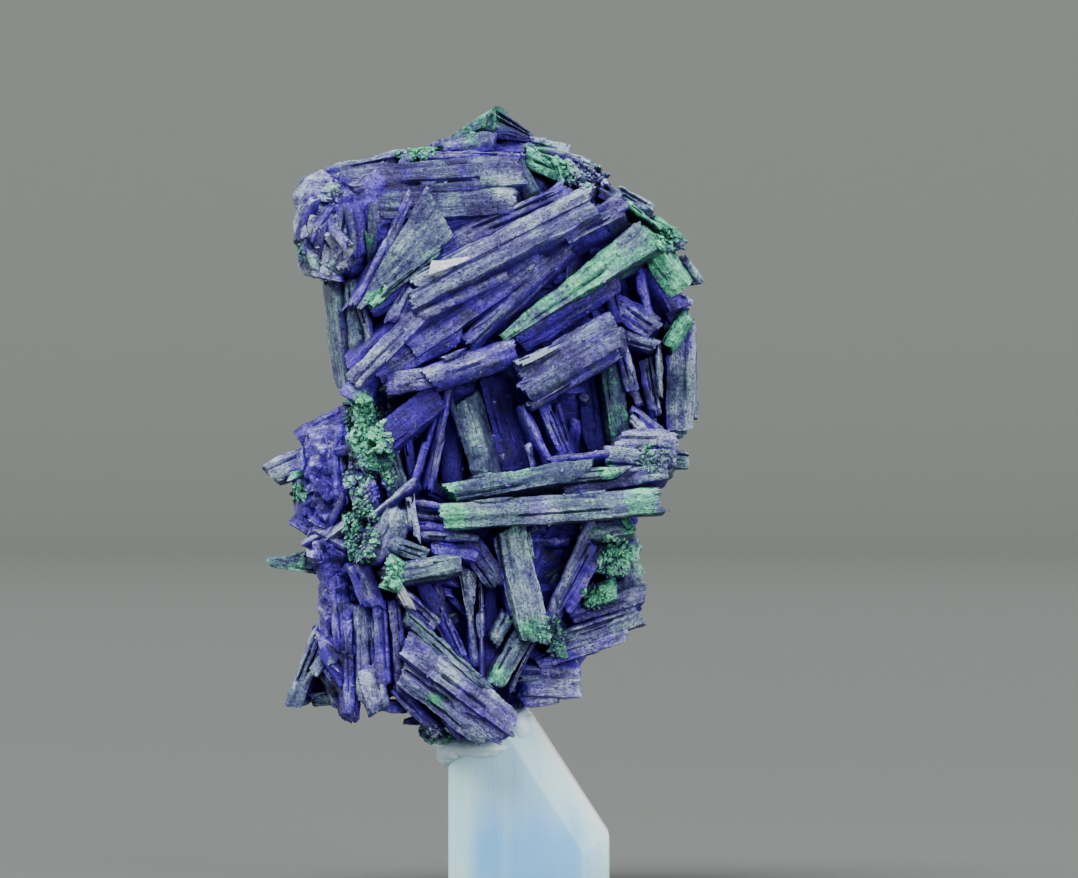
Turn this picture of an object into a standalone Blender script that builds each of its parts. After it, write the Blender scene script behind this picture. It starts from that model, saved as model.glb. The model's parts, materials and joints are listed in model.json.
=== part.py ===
"""Azurite specimen: bladed azurite crystals, part turned to malachite, held by putty on a plastic post.

Run with: blender --background --python part.py
The frame is in metres, +Z up, and the photographed front faces -Y. The origin is the centre of the
post's foot. Crystals are listed in millimetres: x to the right, z up, y away from the front.
"""

import math
import random

import bmesh
import bpy
from mathutils import Matrix, Vector

MM = 0.001

# Driving dimensions, in millimetres.
POST_WIDTH = 6.4
POST_DEPTH = 6.4
POST_SHOULDER_Z = 2.3
POST_TIP = (0.05, 7.15)
POST_LEFT_TOP_Z = 5.1
POST_CHAMFER = 1.0
POST_CREASE_TIP = (-0.4, 5.0)
PUTTY_GAP = 0.08

# Colours, as linear red, green and blue.
AZURITE_BLUE = (0.045, 0.035, 0.24)
PUTTY_WHITE = (0.72, 0.78, 0.80)
POST_ICE_BLUE = (0.50, 0.66, 0.76)

# Cross-sections of the crystal forms, as (across, through) shares of width and thickness.
HEXAGON = ((-0.5, 0.0), (-0.34, -0.5), (0.34, -0.5), (0.5, 0.0), (0.34, 0.5), (-0.34, 0.5))
RIDGE = ((-0.5, 0.1), (0.0, -0.5), (0.5, 0.1), (0.34, 0.5), (-0.34, 0.5))
BAR = ((-0.5, -0.42), (0.5, -0.5), (0.46, 0.5), (-0.5, 0.46))

# Each form: its section, then rings along the length as (share of length, width share, thickness share).
FORMS = {
    "plank": (HEXAGON, ((0.0, 0.72, 0.5), (0.05, 1.0, 1.0), (0.94, 1.0, 1.0), (1.0, 0.76, 0.5))),
    "lath": (HEXAGON, ((0.0, 0.92, 0.85), (1.0, 0.88, 0.85))),
    "slat": (BAR, ((0.0, 0.9, 0.8), (1.0, 0.85, 0.75))),
    "wedge": (HEXAGON, ((0.0, 0.14, 0.3), (0.55, 0.8, 0.9), (1.0, 1.0, 0.85))),
    "roof": (RIDGE, ((0.0, 0.85, 0.8), (1.0, 0.85, 0.8))),
    "block": (HEXAGON, ((0.0, 0.95, 0.9), (1.0, 0.85, 0.75))),
    "shard": (BAR, ((0.0, 0.1, 0.6), (1.0, 1.0, 1.0))),
}

# A plank narrower than this has plain ends. Every crystal of the front reaches back this far into the mass.
BEVELLED_FROM = 1.3
ROOT = 0.9

# Every crystal of the front: both ends as (x, z), their depths y, width, thickness, roll in degrees,
# form, and how much its ends slant.
UPPER_SHEAF = (
    ((-4.7, 23.6), (2.5, 27.3), (-5.5, -5.2), 1.35, 1.0, 25, "plank", 0.3),
    ((-3.3, 25.6), (1.8, 27.8), (-4.6, -4.4), 0.95, 0.9, 10, "plank", -0.3),
    ((1.3, 25.9), (3.75, 27.2), (-5.1, -4.7), 0.95, 0.9, 25, "plank", 0.2),
    ((-2.5, 21.7), (1.5, 25.5), (-5.3, -5.0), 0.9, 0.7, 0, "roof", 0.0),
    ((-0.9, 22.2), (4.95, 26.2), (-5.6, -5.0), 1.5, 0.9, 18, "wedge", -0.5),
    ((-0.6, 21.8), (3.4, 24.4), (-5.0, -4.6), 1.1, 0.8, -25, "plank", 0.2),
    ((-0.4, 20.1), (3.5, 22.3), (-5.6, -5.3), 1.5, 0.8, 20, "plank", 0.3),
    ((0.0, 19.3), (3.5, 21.4), (-5.4, -5.1), 0.45, 0.7, 0, "slat", 0.1),
    ((-7.0, 20.1), (-4.0, 23.1), (-5.0, -5.4), 0.85, 0.8, 25, "plank", 0.1),
    ((-6.9, 20.9), (-3.9, 23.7), (-4.6, -4.8), 0.8, 0.8, -20, "plank", 0.1),
    ((-4.9, 21.6), (0.6, 25.4), (-5.3, -5.0), 1.2, 0.8, 5, "plank", 0.0),
    ((-5.9, 20.6), (-2.6, 22.5), (-4.9, -5.0), 1.0, 0.8, -15, "plank", 0.2),
    ((-4.0, 20.4), (-0.6, 21.6), (-5.6, -5.5), 1.1, 0.8, 10, "roof", 0.2),
    ((-5.4, 20.2), (-3.2, 20.6), (-5.0, -5.2), 0.9, 0.9, 0, "block", 0.0),
    ((-7.2, 20.1), (-6.1, 19.6), (-4.8, -4.8), 0.8, 0.8, 0, "block", 0.0),
    ((-4.2, 22.9), (-0.9, 24.5), (-5.7, -5.6), 0.5, 0.4, 10, "slat", 0.2),
)
TOP_LEFT = (
    ((-7.4, 27.6), (-0.3, 28.0), (-4.0, -4.2), 2.2, 1.6, 15, "plank", 0.3),
    ((-3.6, 26.7), (-0.6, 27.2), (-4.0, -4.0), 1.3, 1.2, 0, "plank", 0.0),
    ((-6.7, 23.2), (-3.5, 27.0), (-5.3, -5.0), 2.2, 0.5, 0, "shard", 0.9),
    ((-6.9, 23.2), (-4.75, 27.5), (-5.0, -4.7), 0.5, 0.6, -10, "plank", 0.2),
    ((-6.1, 23.4), (-3.4, 25.6), (-5.4, -5.1), 0.45, 0.6, 10, "plank", 0.1),
    ((-6.3, 23.1), (-2.9, 25.3), (-5.0, -4.9), 0.7, 0.7, -10, "plank", 0.1),
    ((-5.3, 22.7), (-4.6, 24.0), (-5.2, -5.2), 0.75, 0.6, 0, "block", 0.2),
    ((-7.6, 24.3), (-7.1, 20.2), (-3.4, -3.6), 0.7, 0.9, 15, "plank", 0.1),
    ((-7.0, 24.4), (-6.8, 21.4), (-4.1, -4.2), 0.55, 0.7, 10, "plank", 0.1),
    ((-9.1, 25.3), (-7.6, 25.1), (-3.5, -3.7), 1.5, 2.2, 10, "block", 0.1),
    ((-9.0, 26.6), (-7.2, 26.4), (-3.4, -3.6), 1.7, 2.4, -10, "block", -0.1),
    ((-8.4, 27.7), (-6.8, 27.8), (-3.2, -3.5), 1.5, 2.2, 12, "block", 0.2),
)
CROWN = (
    ((-3.8, 29.4), (-1.4, 29.75), (-2.6, -2.8), 0.8, 1.0, 20, "plank", 0.3),
    ((-3.1, 29.7), (-1.2, 31.1), (-1.2, -1.4), 0.95, 1.6, 10, "block", 0.2),
    ((-1.9, 31.05), (0.1, 30.0), (-1.2, -1.2), 0.95, 1.8, -20, "block", 0.2),
    ((-0.1, 29.7), (1.5, 29.4), (-1.3, -1.2), 0.8, 1.2, 0, "block", 0.1),
    ((1.2, 29.15), (2.2, 28.9), (-0.9, -0.9), 0.7, 1.2, 0, "block", 0.1),
    ((-0.1, 29.2), (1.3, 28.6), (-2.6, -2.8), 0.9, 0.9, 10, "block", 0.2),
    ((-0.6, 28.9), (0.15, 27.5), (-3.2, -3.4), 0.8, 0.8, 15, "plank", 0.0),
    ((-4.2, 29.1), (-0.5, 29.0), (-3.4, -3.2), 0.45, 1.2, 20, "plank", 0.1),
    ((-5.1, 29.1), (-3.5, 29.35), (-3.0, -3.0), 0.6, 0.9, 15, "block", 0.3),
    ((-7.9, 28.35), (-5.2, 28.9), (-2.6, -2.4), 0.8, 1.6, 15, "plank", 0.2),
    ((-6.1, 29.1), (-5.0, 29.35), (-2.2, -2.2), 0.5, 1.0, 0, "block", 0.0),
    ((1.3, 28.9), (2.0, 28.1), (-2.3, -2.6), 0.75, 0.9, 0, "block", 0.1),
    ((2.1, 28.9), (2.95, 28.1), (-1.9, -2.2), 0.75, 0.9, 10, "block", 0.1),
    ((2.8, 28.0), (3.7, 27.5), (-2.6, -2.8), 0.7, 1.0, 0, "block", 0.1),
    ((3.4, 27.8), (4.9, 26.9), (-2.4, -2.6), 0.65, 1.2, 15, "plank", 0.1),
    ((4.8, 26.5), (5.8, 25.7), (-3.6, -3.5), 0.95, 0.9, 0, "block", 0.1),
)
RIGHT_FLANK = (
    ((4.95, 25.4), (6.05, 23.9), (-4.4, -4.2), 1.0, 0.9, -12, "plank", 0.1),
    ((4.6, 25.0), (5.7, 23.2), (-4.0, -3.8), 0.8, 1.0, 30, "plank", 0.1),
    ((6.0, 25.1), (6.6, 24.2), (-3.1, -3.0), 0.7, 0.9, 0, "block", 0.1),
    ((5.4, 22.9), (6.2, 23.3), (-3.5, -3.4), 0.8, 0.8, -15, "block", 0.1),
    ((5.4, 21.7), (6.25, 22.9), (-4.0, -3.8), 0.55, 0.5, 10, "plank", 0.1),
    ((6.0, 22.6), (5.95, 18.5), (-1.8, -1.6), 1.3, 2.4, 5, "plank", 0.1),
    ((3.4, 23.3), (5.0, 22.2), (-4.0, -4.0), 1.0, 0.7, 10, "plank", 0.2),
    ((4.6, 21.3), (5.0, 18.9), (-3.0, -2.9), 0.6, 2.0, 0, "plank", 0.1),
    ((3.5, 22.1), (4.1, 19.9), (-4.6, -4.4), 0.55, 0.6, 10, "plank", 0.1),
    ((3.1, 21.4), (3.6, 17.9), (-4.1, -3.9), 0.9, 0.9, 15, "plank", 0.1),
    ((2.3, 20.6), (2.7, 17.6), (-3.1, -3.2), 0.9, 0.6, -15, "plank", 0.1),
    ((3.4, 17.9), (5.55, 17.8), (-4.6, -4.2), 1.0, 1.0, 15, "block", 0.1),
    ((2.9, 17.3), (5.6, 17.1), (-4.9, -4.6), 0.9, 1.0, 5, "plank", 0.1),
    ((5.3, 17.3), (6.3, 17.2), (-3.6, -3.5), 0.65, 0.8, 0, "block", 0.1),
)
CAVITY = (
    ((-2.65, 19.6), (-1.65, 16.4), (-4.6, -4.6), 0.85, 0.7, -20, "plank", 0.2),
    ((-3.2, 20.0), (-3.95, 16.0), (-4.8, -4.9), 0.35, 0.7, 15, "slat", 0.1),
    ((-3.0, 19.4), (-3.1, 16.2), (-3.8, -3.8), 0.9, 0.4, -15, "slat", 0.1),
    ((-6.0, 17.8), (-3.6, 19.7), (-5.2, -5.0), 1.2, 0.7, 8, "plank", 0.2),
    ((0.4, 19.6), (1.5, 17.1), (-4.4, -4.5), 0.55, 0.7, 20, "plank", 0.1),
    ((-1.5, 20.6), (-0.5, 16.6), (-3.4, -3.6), 1.2, 0.6, 12, "plank", 0.1),
)
CROSS_BEAMS = (
    ((-3.1, 15.85), (2.3, 16.8), (-6.0, -5.7), 0.85, 1.0, 15, "plank", 0.2),
    ((0.2, 16.35), (3.7, 16.7), (-5.9, -5.6), 0.5, 0.8, 10, "plank", 0.3),
    ((1.2, 16.0), (5.35, 16.7), (-5.3, -5.0), 0.8, 0.8, 15, "plank", 0.2),
    ((-3.2, 15.0), (4.9, 15.55), (-6.2, -5.8), 1.05, 1.0, 5, "plank", 0.1),
    ((-1.0, 15.35), (5.0, 15.95), (-6.0, -5.7), 0.35, 0.8, 0, "slat", 0.1),
)
LEFT_FLANK = (
    ((-9.0, 18.0), (-6.6, 19.2), (-0.9, -1.5), 0.95, 0.9, 15, "plank", 0.2),
    ((-10.4, 16.6), (-7.2, 18.0), (-1.3, -1.9), 0.95, 0.9, 10, "plank", 0.3),
    ((-6.6, 19.5), (-6.3, 18.0), (-4.3, -4.3), 0.8, 1.2, 0, "block", 0.1),
    ((-6.8, 18.3), (-6.1, 16.5), (-4.2, -4.4), 1.0, 1.4, 10, "block", 0.1),
    ((-6.7, 16.8), (-6.2, 14.9), (-4.2, -4.3), 1.1, 1.4, -10, "block", 0.1),
    ((-7.0, 15.2), (-6.7, 13.2), (-3.9, -4.0), 0.9, 1.4, 0, "block", 0.1),
    ((-5.7, 17.6), (-5.1, 15.8), (-4.4, -4.4), 1.0, 1.0, 0, "block", 0.1),
    ((-6.8, 13.2), (-6.1, 11.4), (-4.2, -4.4), 0.9, 1.2, 0, "block", 0.1),
    ((-8.9, 17.6), (-8.6, 15.0), (-1.9, -2.2), 0.8, 1.2, 15, "block", 0.1),
    ((-8.8, 15.9), (-7.7, 13.6), (-2.2, -2.6), 0.8, 1.2, 10, "block", 0.1),
    ((-9.25, 14.8), (-8.0, 14.2), (-1.8, -2.2), 0.6, 1.0, 0, "block", 0.1),
    ((-7.7, 18.0), (-7.4, 15.4), (-2.9, -3.1), 0.7, 1.2, 0, "plank", 0.1),
    ((-10.35, 13.2), (-7.9, 13.15), (-1.2, -1.8), 1.1, 0.9, 0, "wedge", 0.1),
    ((-8.4, 14.2), (-7.3, 11.0), (-2.9, -3.1), 0.7, 0.9, 10, "plank", 0.1),
    ((-7.6, 12.8), (-7.35, 9.3), (-3.1, -3.2), 0.65, 0.9, 10, "plank", 0.1),
    ((-9.35, 7.5), (-7.75, 11.3), (-1.7, -2.1), 0.75, 0.9, 10, "plank", 0.2),
    ((-8.1, 11.9), (-7.8, 9.9), (-2.4, -2.4), 0.5, 0.8, 0, "plank", 0.1),
    ((-8.6, 7.65), (-5.2, 8.1), (-1.4, -1.6), 0.55, 0.9, 0, "block", 0.1),
    ((-7.15, 10.9), (-7.05, 7.0), (-3.4, -3.4), 0.6, 0.9, 15, "plank", 0.1),
    ((-6.55, 11.3), (-6.4, 7.6), (-4.0, -4.0), 0.75, 0.8, 5, "plank", 0.1),
    ((-5.9, 11.7), (-5.7, 8.2), (-4.4, -4.3), 0.6, 0.8, -5, "plank", 0.1),
    ((-5.35, 11.8), (-5.0, 8.2), (-4.6, -4.6), 0.55, 0.8, 5, "plank", 0.1),
    ((-6.3, 8.9), (-5.9, 7.3), (-4.2, -4.2), 1.0, 0.8, 0, "block", 0.1),
)
LEFT_CENTRE = (
    ((-6.1, 13.1), (-5.2, 15.3), (-5.4, -5.4), 1.25, 0.9, -15, "block", 0.1),
    ((-5.5, 13.9), (-4.0, 13.4), (-5.7, -5.7), 0.65, 0.5, 10, "plank", 0.1),
    ((-3.9, 13.75), (-2.1, 13.45), (-5.5, -5.5), 0.5, 0.6, 15, "plank", 0.1),
    ((-5.7, 12.6), (-2.8, 13.15), (-5.8, -5.6), 0.85, 0.7, 10, "plank", 0.2),
    ((-2.4, 14.0), (-1.2, 12.3), (-5.2, -5.0), 0.9, 0.8, 0, "block", 0.1),
)
LOWER_FAN = (
    ((-2.4, 12.95), (-2.35, 10.9), (-4.9, -4.7), 0.75, 0.8, 0, "plank", 0.1),
    ((-1.5, 12.5), (-1.65, 8.9), (-4.1, -4.1), 0.6, 0.5, 10, "slat", 0.1),
    ((-4.2, 12.3), (-2.6, 9.2), (-4.5, -4.5), 0.6, 0.6, 0, "plank", 0.1),
    ((-3.3, 10.9), (-2.6, 9.4), (-4.7, -4.7), 0.45, 0.5, 0, "plank", 0.1),
    ((-4.9, 11.05), (-1.7, 8.1), (-5.2, -5.0), 0.55, 0.7, 15, "plank", 0.1),
    ((-5.1, 12.0), (-3.6, 10.6), (-4.9, -4.9), 0.6, 0.6, 0, "plank", 0.1),
    ((-4.8, 9.9), (-0.7, 6.8), (-5.3, -4.9), 1.15, 0.9, 15, "plank", 0.1),
    ((-5.0, 8.9), (-1.5, 6.2), (-5.0, -4.8), 1.0, 0.9, -8, "plank", 0.1),
    ((-3.0, 7.6), (-1.0, 6.5), (-4.9, -4.8), 1.1, 0.9, 0, "block", 0.1),
    ((-5.2, 9.5), (-2.7, 6.2), (-4.6, -4.4), 0.4, 0.6, 0, "slat", 0.1),
    ((-5.4, 8.3), (-3.6, 6.5), (-4.2, -4.0), 0.6, 0.6, 0, "plank", 0.1),
    ((-4.9, 6.8), (-3.4, 7.0), (-3.4, -3.3), 0.6, 0.6, 0, "wedge", 0.1),
    ((-0.75, 14.6), (0.25, 10.15), (-5.4, -5.3), 1.25, 0.9, 10, "plank", 0.1),
    ((-1.3, 14.3), (-0.45, 10.9), (-5.0, -5.0), 0.5, 0.7, 15, "plank", 0.1),
    ((-0.2, 10.4), (-1.35, 8.4), (-4.7, -4.8), 0.85, 0.6, 10, "plank", 0.1),
    ((-0.8, 11.2), (-1.4, 10.0), (-4.9, -4.9), 0.5, 0.5, 15, "block", 0.1),
    ((2.45, 14.8), (0.75, 10.9), (-5.0, -4.8), 0.45, 0.6, -15, "slat", 0.1),
    ((2.5, 13.3), (1.4, 11.3), (-4.3, -4.3), 0.7, 0.5, 0, "slat", 0.1),
    ((0.0, 14.5), (2.0, 14.6), (-3.9, -3.9), 0.8, 0.6, -10, "slat", 0.1),
    ((2.2, 14.5), (4.1, 14.7), (-4.6, -4.4), 1.05, 1.0, 10, "block", 0.1),
    ((2.4, 13.3), (4.0, 13.2), (-3.4, -3.2), 1.4, 1.2, 10, "block", 0.1),
    ((0.8, 10.9), (1.25, 9.4), (-4.3, -4.3), 0.65, 0.6, 0, "block", 0.1),
)
LOWER_RIGHT = (
    ((1.5, 10.9), (4.55, 11.8), (-3.4, -2.8), 0.8, 1.0, 15, "plank", 0.2),
    ((1.2, 10.0), (4.45, 11.05), (-3.6, -3.0), 0.8, 1.0, 5, "plank", 0.2),
    ((0.2, 9.1), (3.75, 10.3), (-3.6, -3.2), 0.6, 1.0, 0, "plank", 0.2),
    ((3.2, 11.9), (4.35, 12.25), (-2.4, -2.2), 0.5, 0.9, 0, "block", 0.1),
    ((2.0, 11.6), (3.3, 12.0), (-3.5, -3.4), 0.9, 0.9, 15, "block", 0.1),
    ((-0.6, 8.5), (1.9, 8.4), (-3.3, -3.1), 1.3, 1.3, 5, "block", 0.2),
    ((-0.2, 7.75), (1.1, 7.9), (-3.1, -3.0), 0.7, 1.1, 0, "block", 0.1),
)
TOP_BACK = (
    ((-7.4, 27.9), (-2.6, 28.9), (0.2, 0.7), 1.5, 1.2, 60, "lath", 0.3),
    ((-4.4, 29.0), (0.4, 29.0), (0.6, 1.4), 1.4, 1.2, 80, "lath", -0.3),
    ((-0.8, 29.1), (3.3, 27.3), (0.9, 0.3), 1.5, 1.2, 70, "lath", 0.2),
    ((-5.9, 28.3), (-1.4, 28.5), (2.2, 2.6), 1.4, 1.3, 105, "lath", 0.3),
    ((0.0, 28.4), (3.7, 26.5), (2.3, 1.7), 1.4, 1.3, 95, "lath", 0.2),
    ((2.4, 27.4), (5.3, 25.5), (-0.5, 0.4), 1.3, 1.2, 60, "lath", 0.2),
)
FRONT = (TOP_BACK, UPPER_SHEAF, TOP_LEFT, CROWN, RIGHT_FLANK, CAVITY, CROSS_BEAMS, LEFT_FLANK,
         LEFT_CENTRE, LOWER_FAN, LOWER_RIGHT)

# The mass that the crystals grew on: at each height z, its left, right, front and back.
MASS = (
    (7.4, -3.6, -0.4, -2.6, 2.2), (8.3, -6.0, 0.8, -3.2, 3.4), (10.0, -6.9, 1.8, -3.5, 4.2),
    (12.5, -7.2, 2.8, -3.9, 4.8), (15.0, -7.5, 3.4, -4.0, 5.2), (17.5, -7.5, 4.0, -2.8, 5.4),
    (20.0, -6.8, 4.9, -3.0, 5.4), (23.0, -7.2, 4.9, -4.0, 5.0), (26.0, -7.5, 4.2, -3.8, 4.4),
    (28.0, -6.4, 2.4, -3.0, 3.4), (29.0, -3.4, 1.0, -1.8, 2.0),
)
MASS_SIDES = 12
MASS_ROUGHNESS = 0.35
MASS_SEED = 3
MASS_SQUARENESS = 0.6
SPECK = 0.0005

# The outline of the cluster as the front view shows it. Crystals of the sides and back stay inside it.
OUTLINE = (
    (-1.5, 31.5), (0.1, 30.3), (1.2, 29.8), (2.0, 29.2), (2.9, 28.5), (3.6, 28.0), (4.3, 27.6), (5.2, 26.9),
    (5.95, 26.2), (6.0, 25.4), (6.7, 24.5), (6.3, 23.6), (6.3, 22.7), (6.65, 21.5), (6.6, 18.5), (5.6, 18.4),
    (6.3, 17.3), (5.6, 16.6), (5.0, 15.2), (4.3, 14.8), (4.1, 12.9), (3.5, 12.4), (4.5, 12.2), (4.7, 11.5),
    (3.9, 10.2), (2.0, 9.1), (1.9, 8.0), (0.4, 7.2), (-0.5, 7.0), (-4.2, 6.6), (-5.2, 7.3), (-7.0, 7.2),
    (-8.4, 7.4), (-9.4, 7.6), (-8.4, 10.6), (-8.0, 12.4), (-10.2, 13.2), (-8.9, 14.0), (-9.3, 14.8),
    (-9.0, 16.0), (-10.3, 16.5), (-9.0, 17.6), (-9.0, 18.3), (-7.1, 19.5), (-7.3, 20.2), (-7.5, 22.5),
    (-7.8, 24.2), (-8.9, 24.5), (-9.3, 25.8), (-8.8, 27.6), (-7.8, 28.8), (-5.8, 29.2), (-3.1, 30.0),
)

# Sheaves of parallel crystals round the sides and back: bearing round the mass (0 right, 90 back, 180 left),
# height z, lean of the crystals from level in degrees, how many, length, width, thickness.
SHEAVES = (
    (-24, 27.2, 40, 2, 3.6, 1.0, 0.9), (-20, 21.0, 80, 2, 4.8, 1.1, 0.9),
    (10, 25.2, -35, 3, 4.8, 1.4, 1.0), (12, 20.0, 64, 3, 5.6, 1.5, 1.0), (10, 15.0, 20, 3, 5.0, 1.5, 1.0),
    (8, 10.8, -30, 2, 4.6, 1.4, 1.0), (46, 23.0, 12, 3, 6.6, 1.7, 1.1), (46, 17.0, -55, 3, 6.4, 1.7, 1.1),
    (44, 11.6, 30, 3, 6.0, 1.6, 1.1), (52, 27.4, 55, 2, 4.4, 1.5, 1.0), (84, 25.2, -28, 3, 7.4, 1.9, 1.2),
    (86, 19.0, 36, 4, 8.0, 1.9, 1.2), (84, 12.6, -14, 3, 7.0, 1.9, 1.2), (92, 9.0, 60, 2, 3.6, 1.5, 1.0),
    (122, 26.8, 12, 3, 6.0, 1.6, 1.1), (124, 20.4, 66, 3, 7.0, 1.7, 1.1), (124, 13.0, 38, 3, 6.4, 1.7, 1.1),
    (160, 23.8, -50, 3, 5.8, 1.5, 1.0), (162, 17.6, 74, 3, 5.8, 1.5, 1.0), (160, 11.2, 20, 3, 5.0, 1.4, 1.0),
)
SHEAF_SEED = 7
SHEAF_FORMS = ("lath", "lath", "block", "roof")
OUTLINE_MARGIN = 0.05


def clear_scene():
    """Remove every object that the file opened with."""
    for old in list(bpy.data.objects):
        bpy.data.objects.remove(old)


def material(name, colour, roughness, transmission=0.0):
    """Make a plain material of one colour."""
    made = bpy.data.materials.new(name)
    made.use_nodes = True
    shader = made.node_tree.nodes["Principled BSDF"]
    shader.inputs["Base Color"].default_value = (*colour, 1.0)
    shader.inputs["Roughness"].default_value = roughness
    shader.inputs["Metallic"].default_value = 0.0
    shader.inputs["Transmission Weight"].default_value = transmission
    return made


def link_mesh(name, bm, made_of, collection=None):
    """Put a bmesh into the scene as an object, with its faces pointing out."""
    bmesh.ops.recalc_face_normals(bm, faces=bm.faces)
    mesh = bpy.data.meshes.new(name)
    bm.to_mesh(mesh)
    bm.free()
    mesh.materials.append(made_of)
    made = bpy.data.objects.new(name, mesh)
    (collection or bpy.context.scene.collection).objects.link(made)
    return made


def skin_rings(bm, rings):
    """Join rings of points, given from one end to the other, into a closed shape."""
    rows = [[bm.verts.new(point) for point in ring] for ring in rings]
    count = len(rows[0])
    for lower, upper in zip(rows, rows[1:]):
        for i in range(count):
            j = (i + 1) % count
            bm.faces.new((lower[i], lower[j], upper[j], upper[i]))
    bm.faces.new(rows[0])
    bm.faces.new(rows[-1])


def crystal_rings(crystal, grow=0.0):
    """The rings of one crystal, in millimetres. grow adds that much to it on every side."""
    start, end, width, thickness, face, form, slant, root = crystal
    if form == "plank" and width < BEVELLED_FROM:
        form = "lath"
    along = (end - start).normalized()
    start = start - along * grow
    end = end + along * grow
    face = (face - along * face.dot(along)).normalized()
    across = face.cross(along)
    section, stations = FORMS[form]
    length = (end - start).length
    wide, thick = width + 2 * grow, thickness + 2 * grow
    rings = []
    for share, wide_share, thick_share in stations:
        lean = slant * (2 * share - 1) if share in (0.0, 1.0) else 0.0
        ring = []
        for u, v in section:
            shift = share * length + lean * u * wide_share
            back = v * thick * thick_share + (root if v > 0.2 else 0.0)
            beside = u * wide * wide_share
            ring.append(start + along * shift + across * beside - face * back)
        rings.append(ring)
    return rings


def front_crystal(row):
    """A listed crystal as points in space: ends, width, thickness, facing, form and slant."""
    (x0, z0), (x1, z1), (y0, y1), width, thickness, roll, form, slant = row
    start, end = Vector((x0, y0, z0)), Vector((x1, y1, z1))
    along = (end - start).normalized()
    face = Matrix.Rotation(-math.radians(roll), 3, along) @ Vector((0, -1, 0))
    return start, end, width, thickness, face, form, slant, ROOT


def inside_outline(x, z):
    """True if the point lies inside the outline of the front view."""
    inside = False
    for (x0, z0), (x1, z1) in zip(OUTLINE, OUTLINE[1:] + OUTLINE[:1]):
        if (z0 > z) != (z1 > z) and x < x0 + (z - z0) * (x1 - x0) / (z1 - z0):
            inside = not inside
    return inside


def mass_section(z):
    """Centre and half sizes of the mass at a height: (x, y, half width, half depth)."""
    z = min(max(z, MASS[0][0]), MASS[-1][0])
    for low, high in zip(MASS, MASS[1:]):
        if z <= high[0]:
            share = (z - low[0]) / (high[0] - low[0])
            left, right, front, back = (a + (b - a) * share for a, b in zip(low[1:], high[1:]))
            return (left + right) / 2, (front + back) / 2, (right - left) / 2, (back - front) / 2
    raise ValueError("the height lies outside the mass")


def round_square(angle):
    """A point of a rounded square of half size 1, at an angle."""
    c, s = math.cos(angle), math.sin(angle)
    return (math.copysign(abs(c) ** MASS_SQUARENESS, c), math.copysign(abs(s) ** MASS_SQUARENESS, s))


def mass_rings(grow=0.0):
    """The rings of the mass that the crystals grew on."""
    chance = random.Random(MASS_SEED)
    rings = []
    for row in MASS:
        x, y, half_width, half_depth = mass_section(row[0])
        ring = []
        for k in range(MASS_SIDES):
            u, v = round_square(2 * math.pi * (k + 0.5) / MASS_SIDES)
            rough = chance.uniform(-MASS_ROUGHNESS, MASS_ROUGHNESS) + grow
            beside, behind = u * (half_width + rough), v * (half_depth + rough)
            ring.append(Vector((x + beside, y + behind, row[0] - grow)))
        rings.append(ring)
    return rings


def sheaf_crystals():
    """The crystals of the sides and back, in sheaves over the mass and inside the front outline."""
    chance = random.Random(SHEAF_SEED)
    made = []
    for bearing, height, lean, count, length, width, thickness in SHEAVES:
        angle = math.radians(bearing)
        x, y, half_width, half_depth = mass_section(height)
        u, v = round_square(angle)
        out = Vector((math.cos(angle) / half_width, math.sin(angle) / half_depth, 0)).normalized()
        level = Vector((0, 0, 1)).cross(out)
        along = level * math.cos(math.radians(lean)) + Vector((0, 0, 1)) * math.sin(math.radians(lean))
        beside = out.cross(along)
        centre = Vector((x + u * half_width, y + v * half_depth, height))
        for k in range(count):
            step = (k - (count - 1) / 2) * width * 0.82
            rise = chance.uniform(0.0, 0.5) - 0.1 * abs(k - (count - 1) / 2)
            middle = centre + beside * step + out * rise + along * chance.uniform(-0.8, 0.8)
            turn = Matrix.Rotation(math.radians(chance.uniform(-9, 9)), 3, out)
            half = turn @ along * (length * chance.uniform(0.36, 0.56))
            size = chance.uniform(0.75, 1.2)
            facing = Matrix.Rotation(math.radians(chance.uniform(-25, 25)), 3, along) @ out
            form = chance.choice(SHEAF_FORMS)
            tilt = out * chance.uniform(-0.5, 0.5)
            slant = chance.uniform(-0.4, 0.4)
            ends = [middle - half - tilt, middle + half + tilt]
            thick = thickness * size
            while not all(clear_of_outline(end, thick) for end in ends) and half.length > 0.8:
                half = half * 0.85
                middle = middle.lerp(Vector((x, middle.y, middle.z)), 0.1)
                ends = [middle - half - tilt, middle + half + tilt]
            if half.length > 0.8:
                made.append((*ends, width * size, thick, facing, form, slant, ROOT / 3))
    return made


def clear_of_outline(point, thickness):
    """True if a crystal end of this thickness lies inside the front outline."""
    reach = thickness / 2 + OUTLINE_MARGIN
    around = ((reach, 0), (-reach, 0), (0, reach), (0, -reach))
    return all(inside_outline(point.x + dx, point.z + dz) for dx, dz in around)


def all_crystals():
    """Every crystal of the cluster, front first."""
    return [front_crystal(row) for group in FRONT for row in group] + sheaf_crystals()


def scaled(rings):
    """Rings in metres."""
    return [[point * MM for point in ring] for ring in rings]


def hidden_collection(name):
    """A collection of helper shapes, which aren't part of the object."""
    made = bpy.data.collections.new(name)
    bpy.context.scene.collection.children.link(made)
    return made


def add_helper(name, rings, collection, made_of):
    """Add one closed helper shape, which a Boolean uses and a render leaves out."""
    bm = bmesh.new()
    skin_rings(bm, scaled(rings))
    made = link_mesh(name, bm, made_of, collection)
    made.hide_render = True
    made.display_type = "WIRE"
    return made


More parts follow.
